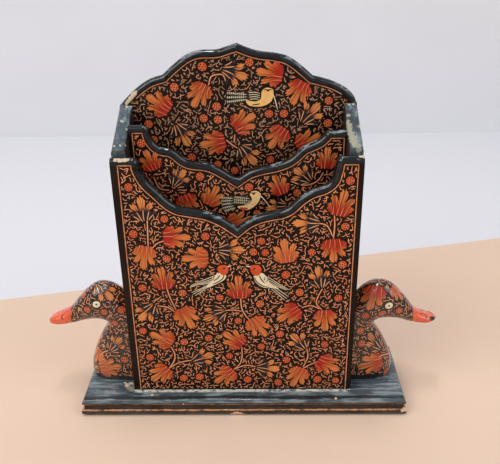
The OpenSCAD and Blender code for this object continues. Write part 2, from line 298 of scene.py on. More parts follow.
# rims: blue-black lacquer, rubbed where hands touch it; the pale streaks on its upward crests are partly
# dry-brush wear and partly painted highlight, and the slate on the side boards' tops is partly painted
# reflection of the pale room; spots are x, y, z and reach
rimLook = {
    "ground": (4, 5, 7), "cloud": (12, 15, 18), "streak": (132, 146, 150), "chip": (190, 186, 164),
    "bare": (196, 172, 144), "sideBare": (170, 168, 150), "slate": (68, 81, 88), "slateDark": (40, 49, 54),
    "slatePale": (112, 125, 130), "olive": (156, 153, 132),
    "boardSpots": [(-71.4, -18.6, 181.5, 1.9), (-69.6, -18.7, 181.4, 2.2), (-67.8, -18.8, 181.4, 2.1),
                   (-66, -18.8, 181.4, 2.1), (-64.4, -18.8, 181.4, 1.7), (74, -17.3, 181.8, 2.6),
                   (72.4, -17.6, 181.8, 1.6), (-69.6, 23.4, 203.8, 2.4), (-68.6, 23.4, 205.4, 2.7),
                   (-67.6, 23.5, 206.9, 2.8), (-66.6, 23.6, 208.2, 2.6), (-65.4, 23.7, 209.6, 2.5),
                   (-64.2, 23.7, 211, 2.0)],
    "sideSpots": [(-71.9, 10.2, 196.5, 1.2), (-70.9, 9.4, 196.2, 0.9), (-67.7, 3.4, 193.1, 1.1),
                  (-73.4, -9.9, 186.9, 1.2), (-69.8, -9.4, 187.1, 1.0), (-66.8, -8.4, 186.8, 0.9),
                  (-70, 22.6, 202.2, 1.3), (-67.4, 22.8, 202.2, 1.1), (69.7, 22.4, 202, 1.6),
                  (72.4, 22.6, 202, 1.3), (74.7, 4.4, 192.9, 2.0)],
    "shoulderSpots": [(-73.5, -14.3, 180.6, 2.3), (-71, -14.3, 181, 2.6), (-68.5, -14.3, 181, 2.6),
                      (-66, -14.4, 181, 2.2), (73.5, -14.3, 180.6, 2.0), (71.2, -14.4, 180.8, 1.8)],
    "flaked": [(67.6, 8, 195, 2.2), (67.8, 5, 193.6, 3.0), (67.7, 2, 192.4, 3.2), (68.4, -1.5, 190.6, 3.4),
               (69.2, -5, 189, 3.6), (69.6, -8, 187.8, 3.4), (70.8, -11, 186.2, 3.2), (72, -13, 184, 2.4),
               (68.4, 13, 197.6, 1.8)],
}


def rimMaterial(name, topIsSlate, stretch, wear, spots, bare, flaked, under):
    made, shader, where = newMaterial(name)
    ground = clouded(where, rimLook["ground"], rimLook["cloud"], 60.0)
    forward, upward = apart(put("NewGeometry", {}, tree=made.node_tree).outputs["Normal"])[1:]
    if topIsSlate:  # and so are the ends that show above the front board
        upward = reckon("MAXIMUM", upward, times(forward, -1.0))
    marks = brushMarks(where, stretch, wear)
    crest = steps(upward, 0.25, 0.9)
    if topIsSlate:
        # slate on the upward faces: the lacquer's tone with painted reflection of the pale room in it
        flat = clouded(where, rimLook["slate"], rimLook["slateDark"], 45.0)
        shade = blend(crest, ground, blend(marks["Streaks"], flat, rimLook["slatePale"]))
    else:
        # pale streaks on the upward crests: dry-brush wear and painted highlight
        shade = blend(times(steps(marks["Streaks"], 0.25, 0.8), crest), ground, rimLook["streak"])
    shade = blend(times(times(marks["Chips"], crest), 0.6), shade, rimLook["chip"])
    shade = blend(times(wornSpots(where, flaked), 0.85), shade, under)
    feed(shader, {"Base Color": blend(wornSpots(where, spots), shade, bare)})
    finishWorn(shader, where, 0.2, 500.0, marks["Streaks"], shine=0.1, coatRough=0.07)
    return made


# base: slate-coloured top, partly painted reflection of the pale room, brown-black moulding with two painted
# lines, each a height and half its width
baseLook = {
    "slate": (74, 87, 92), "slateDark": (46, 55, 60), "slatePale": (126, 138, 142), "shadow": (18, 21, 23),
    "rubbed": (206, 200, 184), "moulding": (22, 17, 14), "mouldingWorn": (66, 48, 36),
    "line": (206, 142, 94), "bare": (214, 180, 148), "olive": (142, 142, 122), "upperLine": (9.35, 0.22),
    "lowerLine": (4.75, 0.14), "nosingFoot": 10.5, "halfDepth": 31.7,
    "bareSpots": [(-6, -31.9, 1.3, 2.2), (-4, -32.2, 2.2, 2.4), (-1.6, -32.2, 1.6, 2.4),
                  (0.4, -31.9, 0.9, 1.8), (111.6, -31.6, 5.2, 2.4), (109.4, -32.4, 4.2, 1.7),
                  (-81.3, -15.2, 13.1, 2.6), (-79, -13.5, 13.1, 1.8), (-83, -12.8, 13.1, 1.3),
                  (-62, -25.8, 13.1, 1.4), (-40, -31.6, 9.6, 1.0), (64, -29.8, 12.9, 1.3)],
    "oliveSpots": [(-77, -19.6, 13.1, 3.6), (-79.4, -17.6, 13.1, 3.2), (-76.6, -14, 13.1, 2.8),
                   (-76.8, -9, 13.1, 2.4)],
    "mouldingCloud": (48, 34, 26), "shadowBand": (1.2, 2.0, 3.6, 5.6), "jointPlace": 21.2, "jointEnd": 75.0,
}


def baseTopShade(where, x, y, streaks, ragged):
    drawn = stretched(where, (0.3, 1.0, 1.0))
    # the slate is the lacquer's tone with painted reflection of the pale room in it
    slate = clouded(drawn, baseLook["slate"], baseLook["slateDark"], 120.0)
    shade = blend(streaks, slate, baseLook["slatePale"])
    # a darker band inside the edges, whose line wanders
    inset = minus(baseLook["halfDepth"] * mm, unsigned(y))
    inset = plus(inset, times(minus(noise(drawn, 190.0, 5.0, 0.65), 0.5), 4.5 * mm))
    begins, full, fades, ends = (edge * mm for edge in baseLook["shadowBand"])
    band = times(steps(inset, begins, full), steps(inset, ends, fades))
    shade = blend(times(band, 0.85), shade, baseLook["shadow"])
    # the pale rubbed joint in front of the front board
    joint = unsigned(plus(y, baseLook["jointPlace"] * mm))
    end = baseLook["jointEnd"]
    worn = times(steps(joint, 2.6 * mm, 1.2 * mm), steps(unsigned(x), (end + 0.5) * mm, (end - 0.5) * mm))
    return blend(times(worn, steps(ragged, 0.36, 0.56)), shade, baseLook["rubbed"])


def mouldingShade(where, z, streaks, ragged):
    shade = clouded(where, baseLook["moulding"], baseLook["mouldingCloud"], 80.0)
    shade = blend(times(streaks, 0.35), shade, baseLook["mouldingWorn"])
    for level, half in (baseLook["upperLine"], baseLook["lowerLine"]):
        away = unsigned(minus(z, level * mm))
        uneven = times(minus(ragged, 0.5), 0.8 * mm)
        line = steps(plus(away, uneven), (half + 0.12) * mm, (half - 0.12) * mm)
        shade = blend(line, shade, baseLook["line"])
    return shade


def baseMaterial():
    made, shader, where = newMaterial("base lacquer")
    x, y, z = apart(where)
    streaks = brushMarks(where, (60.0, 560.0, 560.0), 0.62)["Streaks"]
    ragged = noise(where, 300.0, 4.0)
    foot = baseLook["nosingFoot"]
    shade = blend(steps(z, (foot - 0.15) * mm, (foot + 0.15) * mm), mouldingShade(where, z, streaks, ragged),
                  baseTopShade(where, x, y, streaks, ragged))
    shade = blend(times(wornSpots(where, baseLook["oliveSpots"]), 0.8), shade, baseLook["olive"])
    feed(shader, {"Base Color": blend(wornSpots(where, baseLook["bareSpots"]), shade, baseLook["bare"])})
    finishWorn(shader, where, 0.25, 600.0, streaks, shine=0.15, coatRough=0.08)
    return made


groundLacquer = lacquerMaterial("ground lacquer", (17, 10, 7), (34, 21, 14), 0.36, shine=0.14, coat=0.04)
plainLacquer = lacquerMaterial("plain lacquer", (30, 24, 21), (48, 42, 38), 0.34, 0.35, 22.0)
rimLacquer = rimMaterial("rim lacquer", False, (90.0, 500.0, 400.0), 0.5, rimLook["boardSpots"],
                         rimLook["bare"], rimLook["shoulderSpots"], rimLook["slatePale"])
sideTop = rimMaterial("side lacquer", True, (420.0, 60.0, 420.0), 0.55, rimLook["sideSpots"],
                      rimLook["sideBare"], rimLook["flaked"], rimLook["olive"])
baseLacquer = baseMaterial()
nailSteel = lacquerMaterial("nail steel", (120, 118, 114), (150, 148, 142), 0.35, 0.1, 400.0, 1.0)
dowelWood = lacquerMaterial("dowel wood", (190, 150, 105), (214, 178, 134), 0.5, 0.3, 200.0)


# paints of the decoration: two colours are the thick and the thin brush, a motif has one for each part
paintColours = {
    "twig": ((238, 160, 116), (212, 130, 86)),
    "border line": ((224, 152, 106), (184, 112, 72)),
    "leaf": {"tip": (212, 122, 64), "middle": (190, 88, 42), "base": (172, 38, 22), "lines": (78, 34, 20)},
    "blue leaf": {"tip": (218, 136, 74), "middle": (192, 104, 52), "heart": (20, 30, 38),
                  "lines": (20, 30, 38)},
    "rosette": {"middle": (216, 104, 58), "rim": (196, 76, 42), "pale": (226, 130, 78)},
    "streak": ((234, 166, 114), (214, 134, 84)),
    # darker, greyer twig paint, used on the back board
    "worn twig": ((206, 152, 118), (166, 116, 84)),
    "vein": ((232, 152, 112), (214, 116, 76)),
    "rosette dot": ((92, 20, 12), (126, 36, 22)),
    "cream": ((236, 222, 186), (212, 186, 138)),
    "golden": ((244, 196, 122), (224, 160, 84)),
    "pale golden": ((252, 206, 146), (240, 178, 112)),
    "coral": ((214, 88, 44), (186, 60, 30)),
    "ink": ((26, 22, 22), (52, 44, 38)),
}
paintOrder = list(paintColours)


def motifMaterial(name, varnished):  # and the tone of each motif
    made, shader, where = newMaterial(name)
    source = {"attribute_name": "tone", "attribute_type": "GEOMETRY"}
    tone = put("Attribute", {}, source, made.node_tree).outputs["Fac"]
    finishSurface(shader, where, bump=0.15, shine=0.2, **varnished)
    return made, shader, tone, where


def motifPlace(made):  # across and along the motif
    return put("UVMap", {}, {"uv_map": "motif"}, made.node_tree).outputs["UV"]


def strokeMaterial(name, varnished, colours):  # thicker in some places than in others
    made, shader, tone, where = motifMaterial(name, varnished)
    thick, thin = colours
    depth = steps(plus(noise(where, 260.0, 3.0), times(tone, 0.35)), 0.35, 0.95)
    feed(shader, {"Base Color": blend(depth, thin, thick)})
    return made


def leafMaterial(name, varnished, colours):  # strokes fan out from just below the motif's foot
    made, shader, tone = motifMaterial(name, varnished)[:3]
    sideways, height = apart(motifPlace(made))[:2]
    across, along = minus(sideways, 0.5), plus(height, 0.2)
    fan = reckon("ARCTAN2", across, along)
    away = put("CombineXYZ", {0: across, 1: along}).outputs[0]
    along = put("VectorMath", {0: away}, {"operation": "LENGTH"}).outputs["Value"]
    fanned = put("CombineXYZ", {0: times(fan, 13.0), 1: times(tone, 37.0)}).outputs[0]
    brush = noise(fanned, 1.6, 2.0, 0.5, {"noise_dimensions": "2D"})
    reach = plus(along, times(minus(brush, 0.5), 0.5))
    if "heart" in colours:
        warm = blend(steps(reach, 0.6, 0.95), colours["middle"], colours["tip"])
        shade = blend(steps(reach, 0.66, 0.76), colours["heart"], warm)
    else:
        low = minus(reach, times(tone, 0.22))
        warm = blend(steps(low, 0.35, 0.85), colours["middle"], colours["tip"])
        shade = blend(times(steps(low, 0.56, 0.24), steps(tone, 0.05, 0.75)), warm, colours["base"])
    lined = times(steps(brush, 0.45, 0.34), 0.75)
    notch = unsigned(minus(unsigned(fan), 0.2))
    split = times(times(steps(notch, 0.03, 0.012), steps(along, 0.45, 0.7)), 0.8)
    feed(shader, {"Base Color": blend(reckon("MAXIMUM", lined, split), shade, colours["lines"])})
    return made


def rosetteMaterial(name, varnished, colours):
    made, shader, tone = motifMaterial(name, varnished)[:3]
    middle = distance(motifPlace(made), (0.5, 0.5, 0.0))
    shade = blend(steps(middle, 0.2, 0.5), colours["middle"], colours["rim"])
    feed(shader, {"Base Color": blend(times(tone, 0.5), shade, colours["pale"])})
    return made


def mixPaints(prefix, **varnished):
    makers = {"leaf": leafMaterial, "blue leaf": leafMaterial, "rosette": rosetteMaterial}
    mixed = {}
    for name, colours in paintColours.items():
        mixed[name] = makers.get(name, strokeMaterial)(prefix + name + " paint", varnished, colours)
    return mixed


paints = {  # the ducks are varnished more thickly than the boards
    "decorated_lacquer": mixPaints("", gloss=0.34, coat=0.05, coatRough=0.16),
    "duck_lacquer": mixPaints("duck ", gloss=0.2, coat=0.9, coatRough=0.08),
}
print("finishes and paints")


# laying paint on a surface, in two coats that become two pieces
cell = 1.6 * mm  # paint that is already there is looked up in cells of this size
# coat, width, height over the lacquer, paint, share of the width at the start, in the middle and at the end,
# spacing of its points, tone, and the room that it keeps free around it
brushes = {
    "stem": ("painting", 0.8, 0.1, "twig", (0.9, 1.0, 0.7), 1.0, 0.5, 0.45),
    "duck stem": ("painting", 0.8, 0.12, "twig", (0.9, 1.0, 0.7), 0.8, 0.5, 0.45),
    "vein": ("highlights", 0.42, 0.17, "vein", (0.9, 0.9, 0.3), 1.2, 0.5, None),
    "streak": ("highlights", 0.62, 0.17, "streak", (0.4, 1.0, 0.8), 1.2, 0.5, None),
    "bill": ("painting", 1.0, 0.14, "cream", (1.0, 0.7, 0.3), 0.8, 1.0, 0.4),
    "breast": ("highlights", 1.8, 0.19, "coral", (0.6, 1.0, 0.4), 0.6, 0.2, None),
    "dark": ("highlights", 0.7, 0.21, "ink", (0.8, 1.0, 0.5), 0.8, 0.5, None),
    "light": ("highlights", 0.4, 0.23, "cream", (0.9, 1.0, 0.6), 0.8, 1.0, None),
    "quill": ("highlights", 0.34, 0.22, "cream", (0.9, 1.0, 0.6), 1.5, 1.0, None),
    "barb": ("highlights", 0.3, 0.22, "cream", (1.0, 1.0, 0.6), 1.5, 1.0, None),
    "nostril": ("highlights", 0.75, 0.14, "ink", (0.7, 1.0, 0.6), 0.7, 0.5, None),
}


# land(point) gives the nearest place on the surface and its normal
def newFace(land, across, flatAxis, seed):
    near = [[0] if axis == flatAxis else [-1, 0, 1] for axis in range(3)]
    around = [(a, b, c) for a in near[0] for b in near[1] for c in near[2]]
    coats = {coat: SimpleNamespace(points=[], sheets=[], paints=[], motif=[], tone=[])
             for coat in ("painting", "highlights")}
    return SimpleNamespace(
        land=land, across=Vector(across), taken={}, around=around, chance=random.Random(seed), owner=0,
        motifs=[], coats=coats, twig="twig", within=lambda place: True)


def flatFace(axis, level, facing, across, seed):
    normal = Vector([facing if i == axis else 0 for i in range(3)])

    def land(point):
        spot = point.copy()
        spot[axis] = level
        return spot, normal
    return newFace(land, across, axis, seed)


def carvedFace(piece, across, seed):
    mesh = piece.data
    shape = BVHTree.FromPolygons([v.co for v in mesh.vertices], [p.vertices for p in mesh.polygons])
    made = newFace(lambda point: shape.find_nearest(point)[:2], across, None, seed)
    made.shape = shape
    return made


def cellOf(point):
    return int(point.x // cell), int(point.y // cell), int(point.z // cell)


def block(face, point, radius, owner=0):
    face.taken.setdefault(cellOf(point), []).append((point.x, point.y, point.z, radius, owner))


def isClear(face, point, radius, owner=-1, share=0.0):  # share: how much of the gap its own owner keeps
    if not face.within(point):
        return False
    i, j, k = cellOf(point)
    for a, b, c in face.around:
        for x, y, z, other, who in face.taken.get((i + a, j + b, k + c), ()):
            gap = radius + other
            if who == owner:
                gap *= share
            if (x - point.x) ** 2 + (y - point.y) ** 2 + (z - point.z) ** 2 < gap * gap:
                return False
    return True


def frameAt(face, normal):
    across = face.across - normal * face.across.dot(normal)
    if across.length < 0.35:
        across = Vector((0, 0, 1)) - normal * normal.z
    across.normalize()
    return across, normal.cross(across)


def turnedFrame(face, centre, turn):  # gives the place of a point of a motif that is turned about its centre
    place, normal = face.land(centre)
    across, up = frameAt(face, normal)
    cosine, sine = math.cos(turn), math.sin(turn)
    return lambda a, b: place + across * (a * cosine - b * sine) + up * (a * sine + b * cosine)


def addSheet(layer, points, sheets, paintName, motif=None, tone=0.5):
    first = len(layer.points)
    layer.points += points
    layer.sheets += [[first + i for i in sheet] for sheet in sheets]
    layer.paints += [paintOrder.index(paintName)] * len(sheets)
    layer.motif += motif or [(0.5, 0.5)] * len(points)
    layer.tone += [tone] * len(points)


def smoothPath(face, marks, spacing):  # a soft curve through the marks, on the surface
    path, last = [], len(marks) - 1
    for i in range(last):
        before, first, second, after = marks[max(i - 1, 0)], marks[i], marks[i + 1], marks[min(i + 2, last)]
        count = max(1, round((second - first).length / spacing))
        for k in range(count):
            t = k / count
            path.append(0.5 * (2 * first + (second - before) * t
                               + (2 * before - 5 * first + 4 * second - after) * t * t
                               + (3 * first - before - 3 * second + after) * t ** 3))
    path.append(marks[-1])
    return [face.land(p) for p in path]


def ribbon(layer, path, widths, lift, paintName, tone=0.5):  # path: places on the surface and their normals
    points, last = [], len(path) - 1
    for i, (place, normal) in enumerate(path):
        left = normal.cross(path[min(i + 1, last)][0] - path[max(i - 1, 0)][0])
        if left.length < 1e-9:
            left = Vector((1, 0, 0))
        left.normalize()
        points += [place + normal * lift - left * widths[i] / 2, place + normal * lift + left * widths[i] / 2]
    sheets = [(2 * i, 2 * i + 2, 2 * i + 3, 2 * i + 1) for i in range(last)]
    addSheet(layer, points, sheets, paintName, None, tone)


def brushLine(face, brush, marks, scale=1.0, tone=None):
    coat, width, lift, paintName, (start, middle, end), spacing, usualTone, room = brushes[brush]
    path = smoothPath(face, marks, spacing * mm)
    count = len(path) - 1
    widths = []
    for i in range(count + 1):
        t = i / count
        near, along = (start, t * 3) if t < 0.5 else (end, (1 - t) * 3)
        widths.append(width * mm * scale * (near + (middle - near) * min(1, along)))
    ribbon(face.coats[coat], path, widths, lift * mm, paintName, usualTone if tone is None else tone)
    if room:
        for place, normal in path:
            block(face, place, room * mm)


def outlinePatch(face, marks, lift, paintName, tone, fine=None):
    points = smoothPath(face, marks + [marks[0]], fine * mm)[:-1] if fine else [face.land(m) for m in marks]
    across, up = frameAt(face, points[0][1])
    turn = 0
    for (a, n), (b, m) in zip(points, points[1:] + points[:1]):
        turn += a.dot(across) * b.dot(up) - b.dot(across) * a.dot(up)
    if turn < 0:
        points.reverse()
    lifted = [p + n * (lift * mm) for p, n in points]
    addSheet(face.coats["painting"], lifted, [list(range(len(points)))], paintName, None, tone)
    centre = sum((p for p, n in points), Vector()) / len(points)
    for place, normal in points:
        for share in (1.0, 0.66, 0.33):
            block(face, face.land(centre.lerp(place, share))[0], 0.4 * mm)


def layStamp(face, coat, stamp, centre, turn, span, lift, paintName, room=None, tone=0.5, wobble=0.0):
    place = face.land(centre)[0]
    onSurface = turnedFrame(face, centre, turn)
    points = []
    for i, (a, b) in enumerate(stamp["points"]):
        stretch = 1 + (face.chance.uniform(-wobble, wobble) if i in stamp["rim"] else 0)
        there, facing = face.land(onSurface(a * span[0] * stretch, b * span[1] * stretch))
        points.append(there + facing * lift)
        if room is not None and i in stamp["rim"]:
            for share in (1.0, 0.75, 0.5, 0.25):
                block(face, face.land(place.lerp(there, share))[0], room)
    addSheet(face.coats[coat], points, stamp["sheets"], paintName, stamp["motif"], tone)


# flatten: from a place and its sheet's normal to (u, v) on the colour map
def finishPainting(face, name, flatten, slotName="decorated_lacquer"):
    for coat, layer in face.coats.items():
        title = name + "_" + coat
        mesh = bpy.data.meshes.new(title)
        mesh.from_pydata(layer.points, [], layer.sheets)
        used = sorted(set(layer.paints))
        for index in used:
            mesh.materials.append(paints[slotName][paintOrder[index]])
        mesh.polygons.foreach_set("material_index", [used.index(i) for i in layer.paints])
        maps = [mesh.uv_layers.new(name=label).name for label in ("OFBake", "motif")]
        spread, drawn = [], []
        for polygon in mesh.polygons:
            for i in polygon.vertices:
                spread += flatten(layer.points[i], polygon.normal)
                drawn += layer.motif[i]
        for label, values in zip(maps, (spread, drawn)):
            mesh.uv_layers[label].data.foreach_set("uv", values)
        mesh.attributes.new("tone", "FLOAT", "POINT").data.foreach_set("value", layer.tone)
        piece = bpy.data.objects.new(title, mesh)
        bpy.context.scene.collection.objects.link(piece)
        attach(piece, "root")
    print(name, "painted,", len(face.coats["painting"].sheets), "brush faces")


# the motifs, each modelled once: degrees off the leaf's middle line and reach, both from the leaf's heart
leafHalf = [
    (0, 0.71), (4, 0.64), (8.5, 0.67), (12, 0.57), (16, 0.57), (20.5, 0.38), (26, 0.22), (31, 0.4),
    (36, 0.57), (40.5, 0.51), (46, 0.6), (51, 0.51), (57, 0.54), (63, 0.42), (71, 0.33), (79, 0.42),
    (88, 0.5), (97, 0.44), (106, 0.48), (116, 0.42), (126, 0.45), (135, 0.4), (145, 0.42), (153, 0.36),
    (162, 0.37), (171, 0.32), (180, 0.35),
]
blueHalf = [
    (0, 0.7), (4.5, 0.6), (9, 0.65), (13, 0.52), (18, 0.54), (22.5, 0.33), (28, 0.17), (33, 0.38),
    (38, 0.57), (43, 0.5), (49, 0.59), (55, 0.48), (61, 0.5), (68, 0.32), (75, 0.19), (83, 0.37), (91, 0.5),
    (98, 0.43), (106, 0.45), (116, 0.3), (128, 0.35), (142, 0.27), (155, 0.33), (168, 0.26), (180, 0.31),
]
leafSize = {"reach": 16.5, "heart": 0.32, "middle": 0.48}  # heart and middle are shares of the reach
leafVeins = [
    [(-0.05, -0.02), (-0.06, 0.16), (-0.05, 0.38)], [(0.1, -0.02), (0.11, 0.15), (0.14, 0.34)],
    [(-0.2, 0.0), (-0.22, 0.14), (-0.26, 0.33)], [(0.24, 0.0), (0.26, 0.13), (0.3, 0.27)],
]
blueStreaks = [
    [(0.0, 0.02), (0.0, 0.22), (0.03, 0.46)], [(0.08, 0.0), (0.14, 0.18), (0.22, 0.38)],
    [(-0.08, 0.0), (-0.15, 0.18), (-0.24, 0.38)], [(0.17, 0.04), (0.26, 0.15), (0.38, 0.24)],
    [(-0.17, 0.04), (-0.27, 0.15), (-0.39, 0.24)],
]


def inEditMode(operator, **settings):  # an operator on the whole mesh
    bpy.ops.object.mode_set(mode="EDIT")
    bpy.ops.mesh.select_all(action="SELECT")
    operator(**settings)
    bpy.ops.object.mode_set(mode="OBJECT")


def modelStamp(outline, middle, cuts, motifShift):
    bpy.ops.object.select_all(action="DESELECT")
    bpy.ops.mesh.primitive_circle_add(vertices=len(outline), radius=1.0, fill_type="TRIFAN")
    thing = bpy.context.object
    mesh = thing.data
    rim = sorted((v for v in mesh.vertices if v.co.length > 0.5), key=lambda v: math.atan2(v.co.y, v.co.x))
    rimIndexes = {v.index for v in rim}
    ordered = sorted(outline, key=lambda p: math.atan2(p[1] - middle[1], p[0] - middle[0]))
    for vertex, (a, b) in zip(rim, ordered):
        vertex.co = (a - middle[0], b - middle[1], 0)
    if cuts:
        inEditMode(bpy.ops.mesh.subdivide, number_cuts=cuts)
    flip = mesh.polygons[0].normal.z < 0
    stamp = {
        "points": [(v.co.x, v.co.y) for v in mesh.vertices], "rim": rimIndexes,
        "sheets": [list(reversed(p.vertices)) if flip else list(p.vertices) for p in mesh.polygons],
        "motif": [(v.co.x + middle[0] + motifShift, v.co.y + middle[1]) for v in mesh.vertices]}
    bpy.data.objects.remove(thing)
    return stamp


def roundOutline(count, pinch=1.0):  # every second point is pinched in
    spots = []
    for i in range(count):
        angle, reach = i * math.pi / (count / 2), 0.5 * (1 if i % 2 else pinch)
        spots.append((reach * math.cos(angle) + 0.5, reach * math.sin(angle) + 0.5))
    return spots


def modelStamps():
    heart = leafSize["heart"]
    made = {}
    for label, half in (("leaf", leafHalf), ("blue leaf", blueHalf)):
        other = [(-a, b * (0.96 if i % 4 < 2 else 1.04)) for i, (a, b) in enumerate(half) if 0 < a < 180]
        turns = [(math.radians(a), b) for a, b in half + other]
        outline = [(b * math.sin(a), b * math.cos(a) + heart) for a, b in turns]
        made[label] = modelStamp(outline, (0.0, heart), 0, 0.5)
        made["carved " + label] = modelStamp(outline, (0.0, heart), 3, 0.5)
    rounds = {  # points, pinch and cuts
        "rosette": (16, 0.92, 0), "carved rosette": (16, 0.92, 1), "dot": (6, 1.0, 0), "disc": (16, 1.0, 1)}
    for label, (count, pinch, cuts) in rounds.items():
        made[label] = modelStamp(roundOutline(count, pinch), (0.5, 0.5), cuts, 0.0)
    return made


stamps = modelStamps()
motifLift, motifRoom = 0.12 * mm, 0.42 * mm  # height of a motif over the lacquer, and what it keeps free


# pointing is where the leaf's tips point to, in degrees
def layLeaf(face, centre, pointing, blue=False, scale=1.0, prefix="", redness=None):
    chance = face.chance
    turn = math.radians(pointing - 90)
    reach = leafSize["reach"] * mm * scale
    span = (reach * chance.uniform(0.96, 1.06), reach * chance.uniform(0.97, 1.04))
    tone = chance.random() if redness is None else redness
    face.motifs.append((centre, 8.6 * mm * scale))
    place, normal = face.land(centre)
    across, up = frameAt(face, normal)
    heart = leafSize["heart"]
    centre = place - (up * math.cos(turn) - across * math.sin(turn)) * (leafSize["middle"] - heart) * span[1]
    kind = "blue leaf" if blue else "leaf"
    layStamp(face, "painting", stamps[prefix + kind], centre, turn, span, motifLift, kind, motifRoom, tone,
             0.05)
    onLeaf = turnedFrame(face, centre, turn)
    for marks in (blueStreaks if blue else leafVeins):
        if not blue and chance.random() < 0.12:
            continue
        shift = chance.uniform(-0.02, 0.02)
        path = [onLeaf((a + shift) * span[0], (b - heart) * span[1]) for a, b in marks]
        brushLine(face, "streak" if blue else "vein", path, scale, chance.random())


def layRosette(face, centre, scale=1.0, prefix=""):
    chance = face.chance
    width = 5.3 * mm * scale * chance.uniform(0.93, 1.07)
    turn = chance.uniform(0, 3)
    span = (width, width * chance.uniform(0.94, 1.08))
    layStamp(face, "painting", stamps[prefix + "rosette"], centre, turn, span, motifLift, "rosette",
             motifRoom, chance.random())
    place, normal = face.land(centre)
    across, up = frameAt(face, normal)
    for k in range(7):  # six dots round a middle one
        away = 0.0 if k == 6 else width * 0.3
        angle = turn + k * math.pi / 3 + chance.uniform(-0.2, 0.2)
        spot = place + across * away * math.cos(angle) + up * away * math.sin(angle)
        dot = (1.3 * mm * scale, 0.85 * mm * scale)
        layStamp(face, "highlights", stamps["dot"], spot, angle, dot, 0.17 * mm, "rosette dot", None,
                 chance.random())
    face.motifs.append((centre, 3.1 * mm * scale))


# leaves first, then rosettes in what room is left
def scatterMotifs(face, spots, look, scale=1.0, prefix=""):
    chance = face.chance
    for gap, isLeaf in ((look.get("leafGap", 8.4), True), (look.get("rosetteGap", 3.4), False)):
        for spot in spots:
            roomy = all((spot - other).length > gap * mm * scale + taken for other, taken in face.motifs)
            if roomy and isClear(face, spot, 1.5 * mm):
                if isLeaf:
                    layLeaf(face, spot, chance.uniform(0, 360), chance.random() < 0.3, scale, prefix)
                else:
                    layRosette(face, spot, scale, prefix)


twigLook = {
    "width": 0.42, "gap": 0.6, "step": 0.52, "bend": 0.38, "kink": 0.95, "longest": 15.0, "lift": 0.06,
    "fork": 4.4,
}


def growStroke(face, start, normal, heading, reach, owner, fork):
    chance, step, gap, bend = face.chance, twigLook["step"] * mm, twigLook["gap"] * mm, twigLook["bend"]
    path, travelled = [(start, normal)], 0
    chance.random()  # passed over, so that the draws after it keep their order
    while travelled < reach:
        turn = chance.uniform(-bend, bend)
        if chance.random() < 0.3:
            turn = chance.choice((-1, 1)) * chance.uniform(0.5, 1.0) * twigLook["kink"]
        heading = Matrix.Rotation(turn, 3, normal) @ heading
        place, normal = face.land(path[-1][0] + heading * step)
        heading = place - path[-1][0]
        if heading.length < step * 0.3:
            break
        heading.normalize()
        if not isClear(face, place, gap, owner, 0.8 if travelled > (2.2 * gap if fork else 0) else 0.0):
            break
        path.append((place, normal))
        travelled += step
    return path


def addTwigStroke(face, path, width, tone):
    widths = [width * face.chance.uniform(0.88, 1.12) for i in path]
    widths[0] *= 0.55
    widths[-1] *= 0.55
    if len(path) > 3:
        widths[-2] *= 1.15
    lift = (twigLook["lift"] + face.chance.uniform(0, 0.035)) * mm
    ribbon(face.coats["painting"], path, widths, lift, face.twig, tone)


def addForks(face, path, owner, tone, count, reach, again):
    chance = face.chance
    for i in chance.sample(range(1, len(path) - 1), min(len(path) - 2, count)):
        place, facing = path[i]
        along = (path[i + 1][0] - path[i - 1][0]).normalized()
        side = Matrix.Rotation(chance.choice((-1, 1)) * chance.uniform(0.9, 1.6), 3, facing) @ along
        branch = growStroke(face, place, facing, side, chance.uniform(0.4, 1.0) * reach * mm, owner, True)
        if len(branch) > 2:
            for spot, away in branch[1:]:
                block(face, spot, twigLook["gap"] * mm, owner)
            addTwigStroke(face, branch, twigLook["width"] * mm * 0.92, tone)
            if again and len(branch) > 4:
                addForks(face, branch, owner, tone, 1, reach * 0.6, False)


def fillWithTwigs(face, seeds, allowed=lambda place, normal: True):
    chance, gap = face.chance, twigLook["gap"] * mm
    for longest, fewest in ((twigLook["longest"], 6), (7.0, 4), (3.0, 3)):
        for seed in seeds:
            start, normal = face.land(seed)
            if not isClear(face, start, gap * 1.05) or not allowed(start, normal):
                continue
            across, up = frameAt(face, normal)
            angle = chance.uniform(0, 2 * math.pi)
            heading = across * math.cos(angle) + up * math.sin(angle)
            face.owner += 1
            halves = []
            for way, share in ((-heading, (0.2, 0.5)), (heading, (0.3, 0.6))):
                reach = chance.uniform(*share) * longest * mm
                halves.append(growStroke(face, start, normal, way, reach, face.owner, False))
            path = list(reversed(halves[0][1:])) + halves[1]
            if len(path) < fewest:
                continue
            for place, facing in path:
                block(face, place, gap, face.owner)
            tone = chance.random()
            addTwigStroke(face, path, twigLook["width"] * mm, tone)
            if len(path) > 3:
                addForks(face, path, face.owner, tone, max(2, round(len(path) / 5)), twigLook["fork"], True)


# boards: heights are over the base's top, and each board reaches from its face to its rear
sizes = {"baseTop": 13.1, "front": (-20.3, -13.3), "divider": (0.7, 7.2), "back": (23.2, 29.7), "outer": 75.0}


def at(x, z, level):  # on the upright plane at the depth level, or across the x of a level ("x", value)
    if isinstance(level, tuple):
        return Vector((level[1], x, z + sizes["baseTop"])) * mm
    return Vector((x, level, z + sizes["baseTop"])) * mm


def copyNode(node, name):
    piece = bpy.data.objects.new(name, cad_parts[node].data.copy())
    bpy.context.scene.collection.objects.link(piece)
    bpy.ops.object.select_all(action="DESELECT")
    piece.select_set(True)
    bpy.context.view_layer.objects.active = piece
    bpy.ops.mesh.customdata_custom_splitnormals_clear()
    piece.data.materials.clear()
    inEditMode(bpy.ops.mesh.remove_doubles, threshold=0.003 * mm)
    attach(piece, "root")
    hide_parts(node)
    return piece


def isFlat(places, level):
    return all(abs(place.y - level * mm) < 0.004 * mm for place in places)


